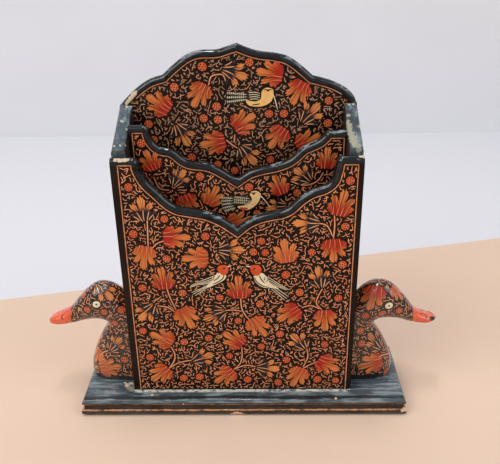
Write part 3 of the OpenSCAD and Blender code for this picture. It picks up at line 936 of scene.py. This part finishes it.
def refillFlat(piece, level):  # the copied triangles fold over on a flat side with a wavy edge
    vertices = piece.data.vertices
    bpy.context.tool_settings.mesh_select_mode = (False, False, True)
    for polygon in piece.data.polygons:
        polygon.select = isFlat([vertices[i].co for i in polygon.vertices], level)
    bpy.ops.object.mode_set(mode="EDIT")
    bpy.ops.mesh.delete(type="FACE")
    bpy.context.tool_settings.mesh_select_mode = (False, True, False)
    bpy.ops.mesh.select_non_manifold(extend=False, use_wire=False, use_boundary=True, use_multi_face=False,
                                     use_non_contiguous=False, use_verts=False)
    bpy.ops.mesh.fill(use_beauty=True)
    bpy.ops.object.mode_set(mode="OBJECT")


def softenEdges(piece):
    bpy.ops.object.shade_smooth_by_angle(angle=math.radians(38))
    weighted = piece.modifiers.new("flat faces stay flat", "WEIGHTED_NORMAL")
    weighted.keep_sharp = True
    weighted.weight = 80
    bpy.ops.object.modifier_apply(modifier=weighted.name)


def giveMaterials(piece, materials, choose=lambda normal, centre: 0):
    for made in materials:
        piece.data.materials.append(made)
    for polygon in piece.data.polygons:
        polygon.material_index = choose(polygon.normal, polygon.center)


def makeBoard(node, name, levels):
    piece = copyNode(node, name)
    for level in levels:
        refillFlat(piece, level)
    rearIsPainted = levels == sizes["back"]

    def choose(normal, centre):
        level = levels[1] if normal.y > 0 and rearIsPainted else levels[0]
        if abs(normal.y) > 0.99 and abs(centre.y - level * mm) < 0.05 * mm:
            return 0
        return 2 if normal.y > 0.99 else 1
    giveMaterials(piece, (groundLacquer, rimLacquer, plainLacquer), choose)
    softenEdges(piece)
    return piece


def faceOutline(piece, level):  # the flat side's edge, from its left foot over the rim to its right foot
    shape = bmesh.new()
    shape.from_mesh(piece.data)
    flat = {f for f in shape.faces if isFlat([v.co for v in f.verts], level)}
    follow = {}
    for face in flat:
        for loop in face.loops:
            if any(other not in flat for other in loop.edge.link_faces):
                follow[loop.vert.index] = loop.link_loop_next.vert.index
    loops, left = [], set(follow)
    while left:
        here = left.pop()
        loop = [here]
        while follow.get(here) in left:
            here = follow[here]
            left.discard(here)
            loop.append(here)
        corners = [piece.data.vertices[i].co for i in loop]
        loops.append([(corner.x / mm, corner.z / mm - sizes["baseTop"]) for corner in corners])
    shape.free()
    outline = max(loops, key=lambda ring: max(x for x, z in ring) - min(x for x, z in ring))
    foot = min(range(len(outline)), key=lambda i: (round(outline[i][1]), outline[i][0]))
    outline = outline[foot:] + outline[:foot]
    if outline[1][1] < outline[-1][1]:
        outline = [outline[0]] + outline[:0:-1]
    return outline


# the painted line inside the rim and down both edges, and the field that it bounds
def borderLine(outline, look):
    left, right, foot, inset = (look[key] for key in ("left", "right", "foot", "inset"))
    moved = []
    for (ax, az), (bx, bz), (cx, cz) in zip(outline, outline[1:], outline[2:]):
        first, second = Vector((bx - ax, bz - az)), Vector((cx - bx, cz - bz))
        if first.length < 0.02 or second.length < 0.02:
            continue
        heading = first.normalized() + second.normalized()
        if heading.length < 0.3:
            continue
        heading.normalize()
        cut = min(1.6, 1 / max(0.5, abs(heading.dot(first.normalized()))))
        moved.append((bx + heading.y * inset * cut, bz - heading.x * inset * cut))
    flatLeft, flatRight = look["flats"]
    kept = [(x, z) for x, z in moved
            if left + 0.6 < x < right - 0.6 and z < (flatLeft if x < 0 else flatRight) and z > 60]
    line = [kept[0]]
    for spot in kept[1:]:
        if math.dist(spot, line[-1]) > 0.7:
            line.append(spot)
    starts, ends = [(left, foot)], [(right, foot)]
    if look.get("open") or look.get("rear"):
        whole = starts + [(left, line[0][1])] + line + [(right, line[-1][1])] + ends
        return (line if look.get("open") else whole), whole
    rises, falls = [(left, flatLeft), (line[0][0], flatLeft)], [(line[-1][0], flatRight), (right, flatRight)]
    whole = starts + rises + line + falls + ends
    return whole, whole


def straightened(marks, spacing):  # points every spacing along a line with corners
    path = []
    for (ax, az), (bx, bz) in zip(marks, marks[1:]):
        count = max(1, round(math.dist((ax, az), (bx, bz)) / spacing))
        path += [(ax + (bx - ax) * k / count, az + (bz - az) * k / count) for k in range(count)]
    return path + [marks[-1]]


def insidePolygon(x, z, polygon):
    hit = False
    for (ax, az), (bx, bz) in zip(polygon, polygon[1:] + polygon[:1]):
        if (az > z) != (bz > z) and x < (bx - ax) * (z - az) / (bz - az) + ax:
            hit = not hit
    return hit


def paintBorder(face, marks, level, width):
    path = [(at(x, z, level), face.land(at(x, z, level))[1]) for x, z in straightened(marks, 1.5)]
    widths = [width * mm * face.chance.uniform(0.85, 1.15) for p in path]
    ribbon(face.coats["painting"], path, widths, 0.08 * mm, "border line")
    for x, z in straightened(marks, 0.8):
        block(face, at(x, z, level), 0.35 * mm)


def flattenBoard(axis, span=0.24):  # axis 1: seen from the front or rear, axis 0: seen from a side
    return lambda place, facing: (((place.x if axis == 1 else place.y) + span / 2) / span, place.z / span)


def flattenCarving(middle, span=0.082):  # six views of the carving side by side
    def tile(place, facing):
        share = [abs(facing.x), abs(facing.y), abs(facing.z)]
        axis = share.index(max(share))
        local = place - middle
        a, b = [(local.y, local.z), (local.x, local.z), (local.x, local.y)][axis]
        column = 0 if facing[axis] < 0 else 1
        return ((column + 0.5 + a / span) / 2, (axis + 0.5 + b / span) / 3)
    return tile


def gridSeeds(face, polygon, spacing, level):
    chance = face.chance
    xs, zs = zip(*polygon)
    seeds = []
    z = min(zs) + spacing / 2
    while z < max(zs):
        x = min(xs) + spacing / 2
        while x < max(xs):
            a, b = x + chance.uniform(-0.5, 0.5) * spacing, z + chance.uniform(-0.5, 0.5) * spacing
            if insidePolygon(a, b, polygon):
                seeds.append(at(a, b, level))
            x += spacing
        z += spacing
    chance.shuffle(seeds)
    return [seed for seed in seeds if face.within(seed)]


birdParts = {  # height over the lacquer, paint, tone, spacing of the softened outline
    "tail": (0.10, "ink", 0.4, None), "wing": (0.13, "ink", 0.3, None), "body": (0.15, "coat", 0.9, 0.9),
    "redHead": (0.17, "coral", 0.7, 0.8),
}


def paintBird(face, level, bird):
    def brushed(brush, marks, scale=1.0):
        brushLine(face, brush, [at(x, z, level) for x, z in marks], scale)
    for part, (lift, paintName, tone, fine) in birdParts.items():
        if part in bird:
            shade = bird.get("coat", "cream") if paintName == "coat" else paintName
            outlinePatch(face, [at(x, z, level) for x, z in bird[part]], lift, shade, tone, fine)
    brushed("bill", bird["bill"], bird["billWidth"])
    if "breast" in bird:
        brushed("breast", bird["breast"])
    for brush in ("dark", "light"):
        for stroke in bird[brush]:
            brushed(brush, stroke)
    for (ax, az), (bx, bz) in bird.get("quills", ()):  # a light shaft with barbs on both sides
        brushed("quill", [(ax, az), (bx, bz)])
        length = math.dist((ax, az), (bx, bz))
        dx, dz = (bx - ax) / length, (bz - az) / length
        for k in range(1, round(length / 1.25)):
            x, z = ax + dx * 1.25 * k, az + dz * 1.25 * k
            for side in (-1, 1):
                tip = (x + dx * 0.9 - dz * side * 0.75, z + dz * 0.9 + dx * side * 0.75)
                brushed("barb", [(x, z), tip])
    eye, span = at(*bird["eye"], level), (1.5 * mm, 1.2 * mm)
    layStamp(face, "highlights", stamps["dot"], eye, 0, span, 0.24 * mm, "ink")


def decorateFace(name, face, level, borders, look, birds=()):
    border, field = borders  # where the line is open, the field goes on to the boards beside it
    face.twig = look.get("twig", "twig")
    paintBorder(face, border, level, look.get("line", 0.62))
    for x, z in straightened([field[-1], field[0]], 0.8):
        block(face, at(x, z - 0.2, level), 0.1 * mm)
    for bird in birds:
        paintBird(face, level, bird)
    scale = look.get("leafScale", 1.0)
    for kind in ("leaves", "blueLeaves"):
        for x, z, pointing, *redness in look.get(kind, ()):
            layLeaf(face, at(x, z, level), pointing, kind == "blueLeaves", scale, "", *redness)
    for x, z in look.get("rosettes", ()):
        layRosette(face, at(x, z, level))
    for stem in look.get("stems", ()):
        brushLine(face, "stem", [at(x, z, level) for x, z in stem])
    seeds = gridSeeds(face, field, 1.5, level)
    below = []
    for seed in seeds:
        x, z = (seed.y if isinstance(level, tuple) else seed.x) / mm, seed.z / mm - sizes["baseTop"]
        beside = ((x - 8, z), (x + 8, z), (x, z + 8))
        if 9 < z < look["scatterBelow"] and all(insidePolygon(a, b, field) for a, b in beside):
            below.append(seed)
    scatterMotifs(face, below, look)
    fillWithTwigs(face, seeds)
    finishPainting(face, name, flattenBoard(0 if isinstance(level, tuple) else 1))


# leaves are x, z, where the tips point to in degrees, and redness; nothing is scattered above scatterBelow
frontLook = {
    "left": -70.4, "right": 71.4, "flats": (165.0, 164.4), "foot": 0.4, "inset": 1.3, "seed": 4,
    "scatterBelow": 0,
    "leaves": [(-38.5, 118, 0, 0.95), (-59.5, 104, -100, 0.1), (-27.5, 103.5, 182, 0.35),
               (-49, 89, 95, 0.8), (-35, 59, -65, 0.3), (-53, 43, 150, 0.4), (-56, 13.5, -140, 0.45),
               (-0.5, 82, 92, 0.8), (12, 51.5, -55, 0.25), (-5, 42, 140, 0.7), (-12, 11.5, -140, 0.5),
               (29, 108, 98, 0.15), (62.5, 140, 76, 0.8), (59, 108, -87, 1.0), (55.5, 56.5, -88, 0.55),
               (31.5, 61.5, -145, 1.0), (38, 10.5, -115, 0.35), (59, 20.5, -30, 0.85)],
    "blueLeaves": [(-58, 137, 95), (-4.5, 109, 0), (-61.5, 63.5, -130), (-26, 27, 25), (-17, 61, -155),
                   (18, 18, -5), (41.5, 127, 180), (51, 89, 100), (38.5, 40, 128)],
    "rosettes": [(-65, 151.5), (-45, 130.5), (-65, 120.5), (-45.5, 103), (-20.5, 118.5), (14, 115),
                 (9, 107.5), (16.5, 107), (45.5, 107), (65.5, 124.5), (67, 154.5), (65, 98), (29.5, 91),
                 (38.5, 78), (63.5, 73.5), (-62.5, 82), (-37, 78), (-13, 74.5), (13, 69.5), (-65, 49),
                 (-38, 40), (-21.5, 43), (-1.5, 56.5), (26, 46), (13.5, 36), (56, 37.5), (-62, 27.5),
                 (-8, 28.5), (30.5, 25), (-40, 10), (-29, 11), (4, 8.5), (25, 6), (52, 8.5), (64.5, 7.5)],
    "stems": [[(-55.5, 130.5), (-56, 121), (-56.5, 111)], [(-46.5, 115.5), (-50.5, 114), (-54, 110.5)],
              [(-47, 82), (-45, 74), (-42, 65.5)], [(-54, 68.5), (-48, 67.5), (-43, 64)],
              [(-47, 36), (-45, 30), (-46, 24), (-50, 18)], [(-34, 25), (-42.5, 23), (-50, 18)],
              [(0.5, 75), (1, 66.5), (3.5, 60.5), (6, 57.5)], [(-10, 64.5), (-5, 65), (1, 64)],
              [(0.5, 35.5), (0.5, 28), (-1, 22), (-5.5, 17)], [(9.5, 19.5), (2.5, 20.5), (-4.5, 17.5)],
              [(58.5, 132), (59, 125), (58.5, 116)], [(49, 127), (54.5, 125), (58, 118)],
              [(53, 80.5), (50.5, 75), (49.5, 69.5), (53, 65)], [(40, 66.5), (46, 68), (51.5, 65.5)],
              [(44, 34), (45, 27.5), (42, 19)], [(52, 23.5), (46, 20.5), (41, 17)]],
}
frontBirds = [
    {"redHead": [(-14.2, 95.5), (-12.5, 98), (-9, 98.3), (-7.2, 97.2), (-7, 94), (-8.6, 91.4),
                 (-11.6, 91.6)], "eye": (-9.6, 96), "billWidth": 1.1,
     "body": [(-14, 93), (-8.5, 91), (-10, 87.5), (-14, 85), (-18, 83), (-20.5, 82), (-21, 83.5),
              (-17.5, 87.5), (-15.5, 90.5)], "bill": [(-8, 96.8), (-5, 98)],
     "wing": [(-15, 92), (-14, 89), (-17.5, 85.5), (-24, 84), (-33, 82), (-30, 84.5), (-25, 87), (-20, 90)],
     "tail": [(-18, 85.5), (-20, 82.5), (-28.5, 75.8), (-29.8, 76.4), (-31.6, 78.4), (-25, 82)],
     "dark": [[(-9.8, 91), (-10.8, 88.4), (-14, 86), (-17.4, 84.4)],
              [(-12.4, 91), (-14, 88.8), (-16.2, 87)], [(-16.4, 88.8), (-17, 87)],
              [(-18.2, 88.2), (-18.8, 86.4)], [(-20, 87.3), (-20.6, 85.7)], [(-21.8, 86.5), (-22.4, 85)]],
     "light": [[(-19, 82.3), (-18.6, 80.4), (-19.6, 79.6)], [(-17.4, 85.6), (-24, 81.8), (-31, 78.4)],
               [(-18.4, 84.6), (-24.6, 80.6), (-30.4, 77.1)], [(-19.2, 83.4), (-24.4, 79.4), (-28.8, 76)],
               [(-15.4, 91), (-20, 88.9), (-26, 86.3), (-31.6, 83.5)],
               [(-15, 89.6), (-20, 87.3), (-26, 85.2), (-31.8, 82.7)],
               [(-15.6, 88), (-20.5, 86), (-26.4, 84.3), (-32, 82.2)],
               [(-17, 86.6), (-21, 85), (-25, 84.2)], [(-16.4, 90.6), (-17.6, 88.6), (-17.4, 86.8)]]},
    {"redHead": [(14.2, 95.2), (12.4, 98), (9, 98.2), (7, 97.2), (7.2, 94), (9, 91), (12.8, 91)],
     "eye": (9.5, 95.6), "billWidth": 1.1,
     "body": [(9, 90), (14, 92.5), (17, 90), (20, 84.5), (25, 81), (20, 81.5), (15, 82), (10.5, 85.5)],
     "bill": [(8, 96.8), (4.2, 97.6)],
     "wing": [(14.5, 91.5), (20, 89), (26, 84), (33, 79.5), (30, 79.5), (24, 82), (17.5, 82.5), (15, 87.5)],
     "tail": [(20.5, 82.5), (25, 81.5), (32, 75), (30.6, 73.6), (28.6, 72), (19.5, 80.5)],
     "dark": [[(9.6, 89.2), (11.2, 85.8), (15, 83), (19, 82)], [(12.6, 90.6), (14, 87.6), (16, 85)],
              [(16.2, 89.4), (15.8, 87)], [(18, 88.4), (17.6, 85.8)], [(19.8, 87.4), (19.4, 84.8)],
              [(21.6, 86), (21.2, 84)]],
     "light": [[(19, 81.2), (18.4, 79.4), (19.4, 78.8)], [(20.4, 80.8), (24.8, 76.4), (28.8, 72.4)],
               [(21.8, 81.2), (26.2, 77), (30.2, 73.6)], [(23.2, 81.6), (27.8, 77.8), (31.4, 75)],
               [(15.2, 90.8), (20, 88.2), (26, 83.8), (32, 80)],
               [(15.2, 89.2), (20, 86.6), (25.6, 82.9), (31, 79.9)],
               [(15.8, 87.4), (20, 85), (25, 82.2), (29.6, 80)], [(16.6, 85.4), (20, 83.6), (23.4, 82.4)],
               [(16.6, 89.6), (17.4, 87.4), (16.6, 84.6)]]},
]
dividerLook = {
    "left": -64.1, "right": 65.0, "flats": (178.3, 174.0), "foot": 0.4, "inset": 1.3, "seed": 11,
    "scatterBelow": 124, "line": 0.52, "leafScale": 0.86,
    "leaves": [(-54.5, 161, 112, 1.0), (-16.5, 137, 62, 0.45), (-32.5, 131, -70, 1.0), (25, 144, 112, 0.9),
               (55, 161.5, 86, 0.8)], "blueLeaves": [(-37, 149, 55), (40, 150.5, 140), (24, 128.5, 190)],
    "rosettes": [(-59, 172), (-24, 150), (6.5, 142.5), (37, 138.5), (11.5, 124.5), (-48, 136)],
    "stems": [[(33, 146.5), (41, 143.5), (49, 146), (53, 152)], [(-44, 141), (-50, 142.5), (-53, 150)]],
}
dividerBirds = [
    {"eye": (9.6, 138), "billWidth": 0.8, "bill": [(13.2, 137.2), (16.5, 133.6), (20, 128.6)],
     "coat": "pale golden", "breast": [(0.5, 128.2), (3, 127.8), (5.6, 128.2)],
     "body": [(14, 138), (13, 133.5), (10, 129.5), (5.5, 127), (1, 127.5), (-1, 129.5), (3, 130),
              (6.5, 131.5), (8.4, 134.5), (7, 137.5), (8, 139.6), (11.5, 140)],
     "wing": [(-3, 136.6), (4, 136.8), (8, 135.4), (7.4, 132), (3, 129.8), (-4.5, 131.4)],
     "tail": [(-11.5, 136), (-3.5, 136.4), (1, 135.6), (-1, 130), (-6, 127.4), (-10, 125.8),
              (-11.2, 129.5)], "dark": [[(6.6, 139), (9, 138.6), (11.4, 138.9)]],
     "light": [[(3.6, 130.6), (6, 131.8), (7.4, 133.8)]],
     "quills": [((6.8, 134.8), (-2.8, 136)), ((6.6, 133.2), (-3.2, 134.2)), ((5.4, 131.8), (-3.6, 132.4)),
                ((-3.6, 135.2), (-11.2, 135.6)), ((-4, 133.6), (-11.4, 133.4)), ((-4, 131.8), (-11, 131)),
                ((-3.4, 130), (-10.6, 128.4)), ((-2.4, 128.6), (-9.6, 126.4))]},
]
backLook = {
    "left": -66.2, "right": 66.2, "flats": (240, 240), "foot": 0.4, "inset": 1.3, "open": True, "seed": 21,
    # its twigs are painted darker and greyer than the front board's
    "scatterBelow": 146, "line": 0.48, "twig": "worn twig",
    "leaves": [(-50.5, 191, 145, 0.85), (-24.5, 195.5, -120, 0.4), (20, 209, 170, 0.95),
               (37.5, 196.5, -118, 0.7), (4, 178.5, 35, 0.6), (-17, 164.5, 190, 0.85),
               (24.5, 167.5, -125, 0.85), (45, 165, 30, 0.7)],
    "blueLeaves": [(-1.5, 209, -20), (46, 183.5, 50), (-36, 170, -60), (6, 156, -50)],
    "rosettes": [(-21.5, 213.5), (-39.5, 201), (7.5, 215.8), (-13.5, 188.5), (-22, 181), (-13, 180),
                 (19.5, 183.5), (29, 183.5), (57, 191.5), (57, 177), (-57.5, 177.5), (-14, 150),
                 (20.5, 153), (-31, 155), (-55, 167)],
    "stems": [[(-18, 202), (-16, 207.5), (-9.5, 208.5), (-6, 205)], [(-2.5, 170), (-3, 164.5)],
              [(-8, 166.5), (-4, 163), (-1, 161)]],
}
backBirds = [
    {"eye": (19, 198.2), "billWidth": 0.8, "bill": [(22, 196), (23.6, 191.5), (25, 186)], "coat": "golden",
     "body": [(22.5, 197.5), (21, 191.5), (15.5, 188.5), (8.5, 188.5), (5.5, 190.5), (5, 193), (7, 192),
              (11.5, 191.5), (14.5, 193.5), (15, 197.5), (17.5, 200), (21.5, 199.4)],
     "wing": [(5, 197), (10, 198.4), (14, 197.9), (15, 194), (11.5, 191.4), (6, 191.4)],
     "tail": [(-7.5, 198), (0, 197.4), (6, 196.6), (6, 192), (0, 190.4), (-7, 189.9), (-7.6, 193.5)],
     "dark": [[(16.6, 199), (19, 198.7), (21.4, 199)], [(9, 189.2), (11.5, 189.6), (14, 190)]],
     "light": [[(7, 197), (10.4, 197.4), (13.6, 196.6)], [(7, 195.6), (10.4, 196), (13.8, 195.2)],
               [(7.2, 194.2), (10.6, 194.6), (13.8, 193.9)], [(7.6, 192.8), (10.6, 193.2), (13, 192.8)]],
     "quills": [((5.4, 196), (-6.8, 197.1)), ((5.4, 194.4), (-7, 194.3)), ((5.2, 192.8), (-6.6, 191.4))]},
]


def decorateBoard(name, piece, level, look, birds):
    face = flatFace(1, level * mm, -1, (1, 0, 0), look["seed"])
    decorateFace(name, face, level, borderLine(faceOutline(piece, level), look), look, birds)


frontBoard = makeBoard("front_panel", "front_board", sizes["front"])
dividerBoard = makeBoard("middle_divider", "divider_board", sizes["divider"])
backBoard = makeBoard("back_panel", "back_board", sizes["back"])
decorateBoard("front_board", frontBoard, sizes["front"][0], frontLook, frontBirds)
decorateBoard("divider_board", dividerBoard, sizes["divider"][0], dividerLook, dividerBirds)
decorateBoard("back_board", backBoard, sizes["back"][0], backLook, backBirds)


# side boards and base
def makeSmooth(node, name, materials, choose):
    piece = copyNode(node, name)
    inEditMode(bpy.ops.mesh.dissolve_limited, angle_limit=math.radians(0.5))
    giveMaterials(piece, materials, choose)
    softenEdges(piece)


def sidePart(normal, centre):  # the outside is painted, the inside plain, the rest is rim
    if abs(normal.x) < 0.99:
        return 0
    return 1 if abs(centre.x) > (sizes["outer"] - 0.1) * mm else 2


for side in ("left", "right"):
    makeSmooth(side + "_side_panel", side + "_side_board", (sideTop, groundLacquer, plainLacquer), sidePart)
makeSmooth("base_board", "moulded_base", (baseLacquer,), lambda normal, centre: 0)
print("side boards and base")


# ducks
duckLook = {
    "ground": (26, 20, 16), "cloud": (52, 38, 29), "bill": (228, 102, 62), "billDeep": (206, 78, 42),
    "rubbed": (104, 92, 78), "billEdge": 118.0, "middle": 4.7, "band": 17.0, "boardSide": 75.9,
}
# read off the picture, in its points: leaves have their place, where their tips point to, and their scale
duckMotifs = {
    -1: {"leaves": [((110, 367.5), (122, 366), 1.0), ((97.5, 355), (94, 364), 0.75)],
         "blueLeaves": [((105, 291.5), (114, 302), 1.1), ((116, 344.5), (123, 336), 0.9)],
         "rosettes": [(87.2, 309.9), (104.1, 312.1), (121.6, 309.9), (114.9, 322.9), (124.6, 359.5),
         (84, 295)], "eye": (96.4, 304.4), "bill": [[(64, 315), (61.2, 317), (63.6, 319.6)]],
         "stems": [[(100, 356), (104, 352), (108.5, 350.5)]]},
    1: {"leaves": [((372.5, 298), (369, 309), 1.15), ((397.5, 293), (404, 301), 0.75),
        ((370.5, 364), (357, 367.5), 1.1)], "blueLeaves": [((375, 341), (366, 331), 1.0)],
        "rosettes": [(399, 310.8), (382.4, 313.4), (365.5, 315.9), (360.4, 330.9), (361.7, 343.5),
        (386.1, 371.5)], "eye": (389, 305.7), "bill": [[(420.4, 313.3), (423.4, 314), (426.3, 315.6),
        (426.4, 317.2), (425.6, 318.6)], [(433.8, 313.9), (435.4, 315.4), (436.4, 317.2)]],
        "tip": (432.6, 318.7), "stems": [[(388.3, 353.7), (383, 354.6), (378.5, 357.5)]]},
}


def duckMaterial(name, billSign):
    made, shader, where = newMaterial(name)
    body = clouded(where, duckLook["ground"], duckLook["cloud"], 60.0)
    bill = clouded(where, duckLook["bill"], duckLook["billDeep"], 130.0)
    x, y, z = apart(where)
    drift = noise(where, 300.0, 2.0)
    along = plus(times(x, billSign), times(drift, 0.8 * mm))
    edge = duckLook["billEdge"] * mm
    chest = times(steps(along, 102.5 * mm, 106 * mm), steps(z, 60 * mm, 52 * mm))
    body = blend(times(chest, steps(drift, 0.3, 0.6)), body, duckLook["rubbed"])
    feed(shader, {"Base Color": blend(steps(along, edge + 0.1 * mm, edge + 0.5 * mm), body, bill)})
    finishSurface(shader, where, 0.24, 0.3, shine=0.2, coat=0.9, coatRough=0.08)
    return made


def makeDuck(node, name, sign):
    piece = copyNode(node, name)
    piece.data.materials.append(duckMaterial(name + " lacquer", sign))
    inEditMode(bpy.ops.mesh.tris_convert_to_quads, face_threshold=math.radians(40),
               shape_threshold=math.radians(60))
    shape = bmesh.new()
    shape.from_mesh(piece.data)
    crease = shape.edges.layers.float.new("crease_edge")
    for edge in shape.edges:
        if len(edge.link_faces) == 2 and edge.calc_face_angle() > math.radians(50):
            edge[crease] = 1.0
    shape.to_mesh(piece.data)
    shape.free()
    smooth = piece.modifiers.new("rounding", "SUBSURF")
    smooth.levels = smooth.render_levels = 2
    bpy.ops.object.modifier_apply(modifier=smooth.name)
    bpy.ops.object.shade_smooth_by_angle(angle=math.radians(45))
    return piece


# where a point of the picture lies on the carving, or the same place on its far side
def seenPlace(face, mark, farSide):
    turned = bpy.context.scene.camera.matrix_world
    start = turned.translation
    ray = Vector((mark[0] - view["width"] / 2, view["height"] / 2 - mark[1], -view["focal"]))
    away = (turned.to_3x3() @ ray).normalized()
    hit = face.shape.ray_cast(start, away)[0]
    if hit is None:  # just beside the outline: the nearest place on the carving
        hit = face.shape.find_nearest(start + away * ((face.middle - start).dot(away)))[0]
    if farSide:
        hit = face.land(Vector((hit.x, 2 * duckLook["middle"] * mm - hit.y, hit.z)))[0]
    return hit


def surfaceSeeds(piece, spacing, chance):
    seeds = []
    for polygon in piece.data.polygons:
        share = polygon.area / (spacing * mm) ** 2
        for k in range(int(share) + (1 if chance.random() < share % 1 else 0)):
            corners = [piece.data.vertices[i].co for i in polygon.vertices]
            weights = [chance.random() for c in corners]
            seeds.append(sum((c * w for c, w in zip(corners, weights)), Vector()) / sum(weights))
    chance.shuffle(seeds)
    return seeds


def paintDuckSide(face, motifs, farSide):
    def seen(marks):
        return [seenPlace(face, mark, farSide) for mark in marks]
    eye = seenPlace(face, motifs["eye"], farSide)
    ring, pupil = (5.4 * mm, 4.7 * mm), (1.5 * mm, 1.4 * mm)
    layStamp(face, "painting", stamps["disc"], eye, 0.3, ring, 0.14 * mm, "cream", 0.5 * mm, 1.0)
    layStamp(face, "highlights", stamps["dot"], eye, 0.3, pupil, 0.22 * mm, "ink")
    face.motifs.append((eye, 3 * mm))
    for stroke in motifs["bill"]:
        brushLine(face, "nostril", seen(stroke))
    if "tip" in motifs:
        tip = seenPlace(face, motifs["tip"], farSide)
        layStamp(face, "highlights", stamps["disc"], tip, 0.1, (5.2 * mm, 4.0 * mm), 0.12 * mm, "ink")
    for kind in ("leaves", "blueLeaves"):
        for mark, tips, scale in motifs[kind]:
            place, tip = seen((mark, tips))
            across, up = frameAt(face, face.land(place)[1])
            pointing = math.degrees(math.atan2((tip - place).dot(up), (tip - place).dot(across)))
            pointing += face.chance.uniform(-40, 40) if farSide else 0
            layLeaf(face, place, pointing, kind == "blueLeaves", scale, "carved ")
    for mark in motifs["rosettes"]:
        layRosette(face, seenPlace(face, mark, farSide), 0.98, "carved ")
    for stem in motifs["stems"]:
        brushLine(face, "duck stem", seen(stem))


def decorateDuck(piece, name, sign, motifs, seed):
    face = carvedFace(piece, (1, 0, 0), seed)
    chance = face.chance
    middle = duckLook["middle"] * mm
    corners = [v.co for v in piece.data.vertices]
    face.middle = sum(corners, Vector()) / len(corners)
    inner, outer = duckLook["boardSide"] * mm, (duckLook["billEdge"] - 0.6) * mm
    face.within = lambda place: inner < sign * place.x < outer and place.z > duckLook["band"] * mm
    for farSide in (False, True):
        paintDuckSide(face, motifs, farSide)
    seeds = [s for s in surfaceSeeds(piece, 1.4, chance) if face.within(s)]
    breast = [s for s in seeds if 80 * mm < sign * s.x < 113 * mm and s.z > 22 * mm and s.y > middle - 2 * mm]
    scatterMotifs(face, breast, {"leafGap": 9, "rosetteGap": 5}, 0.9, "carved ")

    def keepsPaint(place, facing):  # the chest is rubbed nearly bare
        return not (sign * place.x > 103.5 * mm and place.z < 58 * mm) or chance.random() < 0.3
    fillWithTwigs(face, seeds, keepsPaint)
    finishPainting(face, name, flattenCarving(Vector((sign * 105.5 * mm, middle, 49 * mm))), "duck_lacquer")
    return face


leftDuck = makeDuck("left_duck", "carved_duck_left", -1)
rightDuck = makeDuck("right_duck", "carved_duck_right", 1)
leftCarving = decorateDuck(leftDuck, "duck_left", -1, duckMotifs[-1], 31)
rightCarving = decorateDuck(rightDuck, "duck_right", 1, duckMotifs[1], 37)


# the faces that the picture hides: both outer sides and the rear, painted in the same manner
sideLook = {
    "border": [(-11.6, 0.6), (-11.6, 165.6), (21.6, 181.6), (21.6, 0.6)], "scatterBelow": 178, "leafGap": 9.5,
    "rosetteGap": 5.2, "duckGap": 0.9,
}
rearLook = {
    "left": -70.6, "right": 70.6, "flats": (240, 240), "foot": 0.6, "inset": 1.6, "rear": True,
    "scatterBelow": 220, "leafGap": 11.5, "rosetteGap": 5.6,
}


def decorateSide(name, sign, carving, seed):
    face = flatFace(0, sign * sizes["outer"] * mm, sign, (0, sign, 0), seed)
    # nothing is painted under the duck
    face.within = lambda place: carving.shape.find_nearest(place)[3] > sideLook["duckGap"] * mm
    decorateFace(name, face, ("x", sign * sizes["outer"]), (sideLook["border"], sideLook["border"]), sideLook)


def decorateRear(piece, level):
    face = flatFace(1, level * mm, 1, (-1, 0, 0), 53)
    decorateFace("rear", face, level, borderLine(faceOutline(piece, level), rearLook), rearLook)


decorateSide("left_side", -1, leftCarving, 41)
decorateSide("right_side", 1, rightCarving, 43)
decorateRear(backBoard, sizes["back"][1])
print("ducks, sides and rear painted")

fastenings = {
    "front_panel_brads": groundLacquer, "back_panel_brads": groundLacquer, "divider_brads": groundLacquer,
    "base_nails": nailSteel, "duck_dowels": dowelWood,
}
for name, made in fastenings.items():
    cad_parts[name].data.materials.clear()
    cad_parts[name].data.materials.append(made)
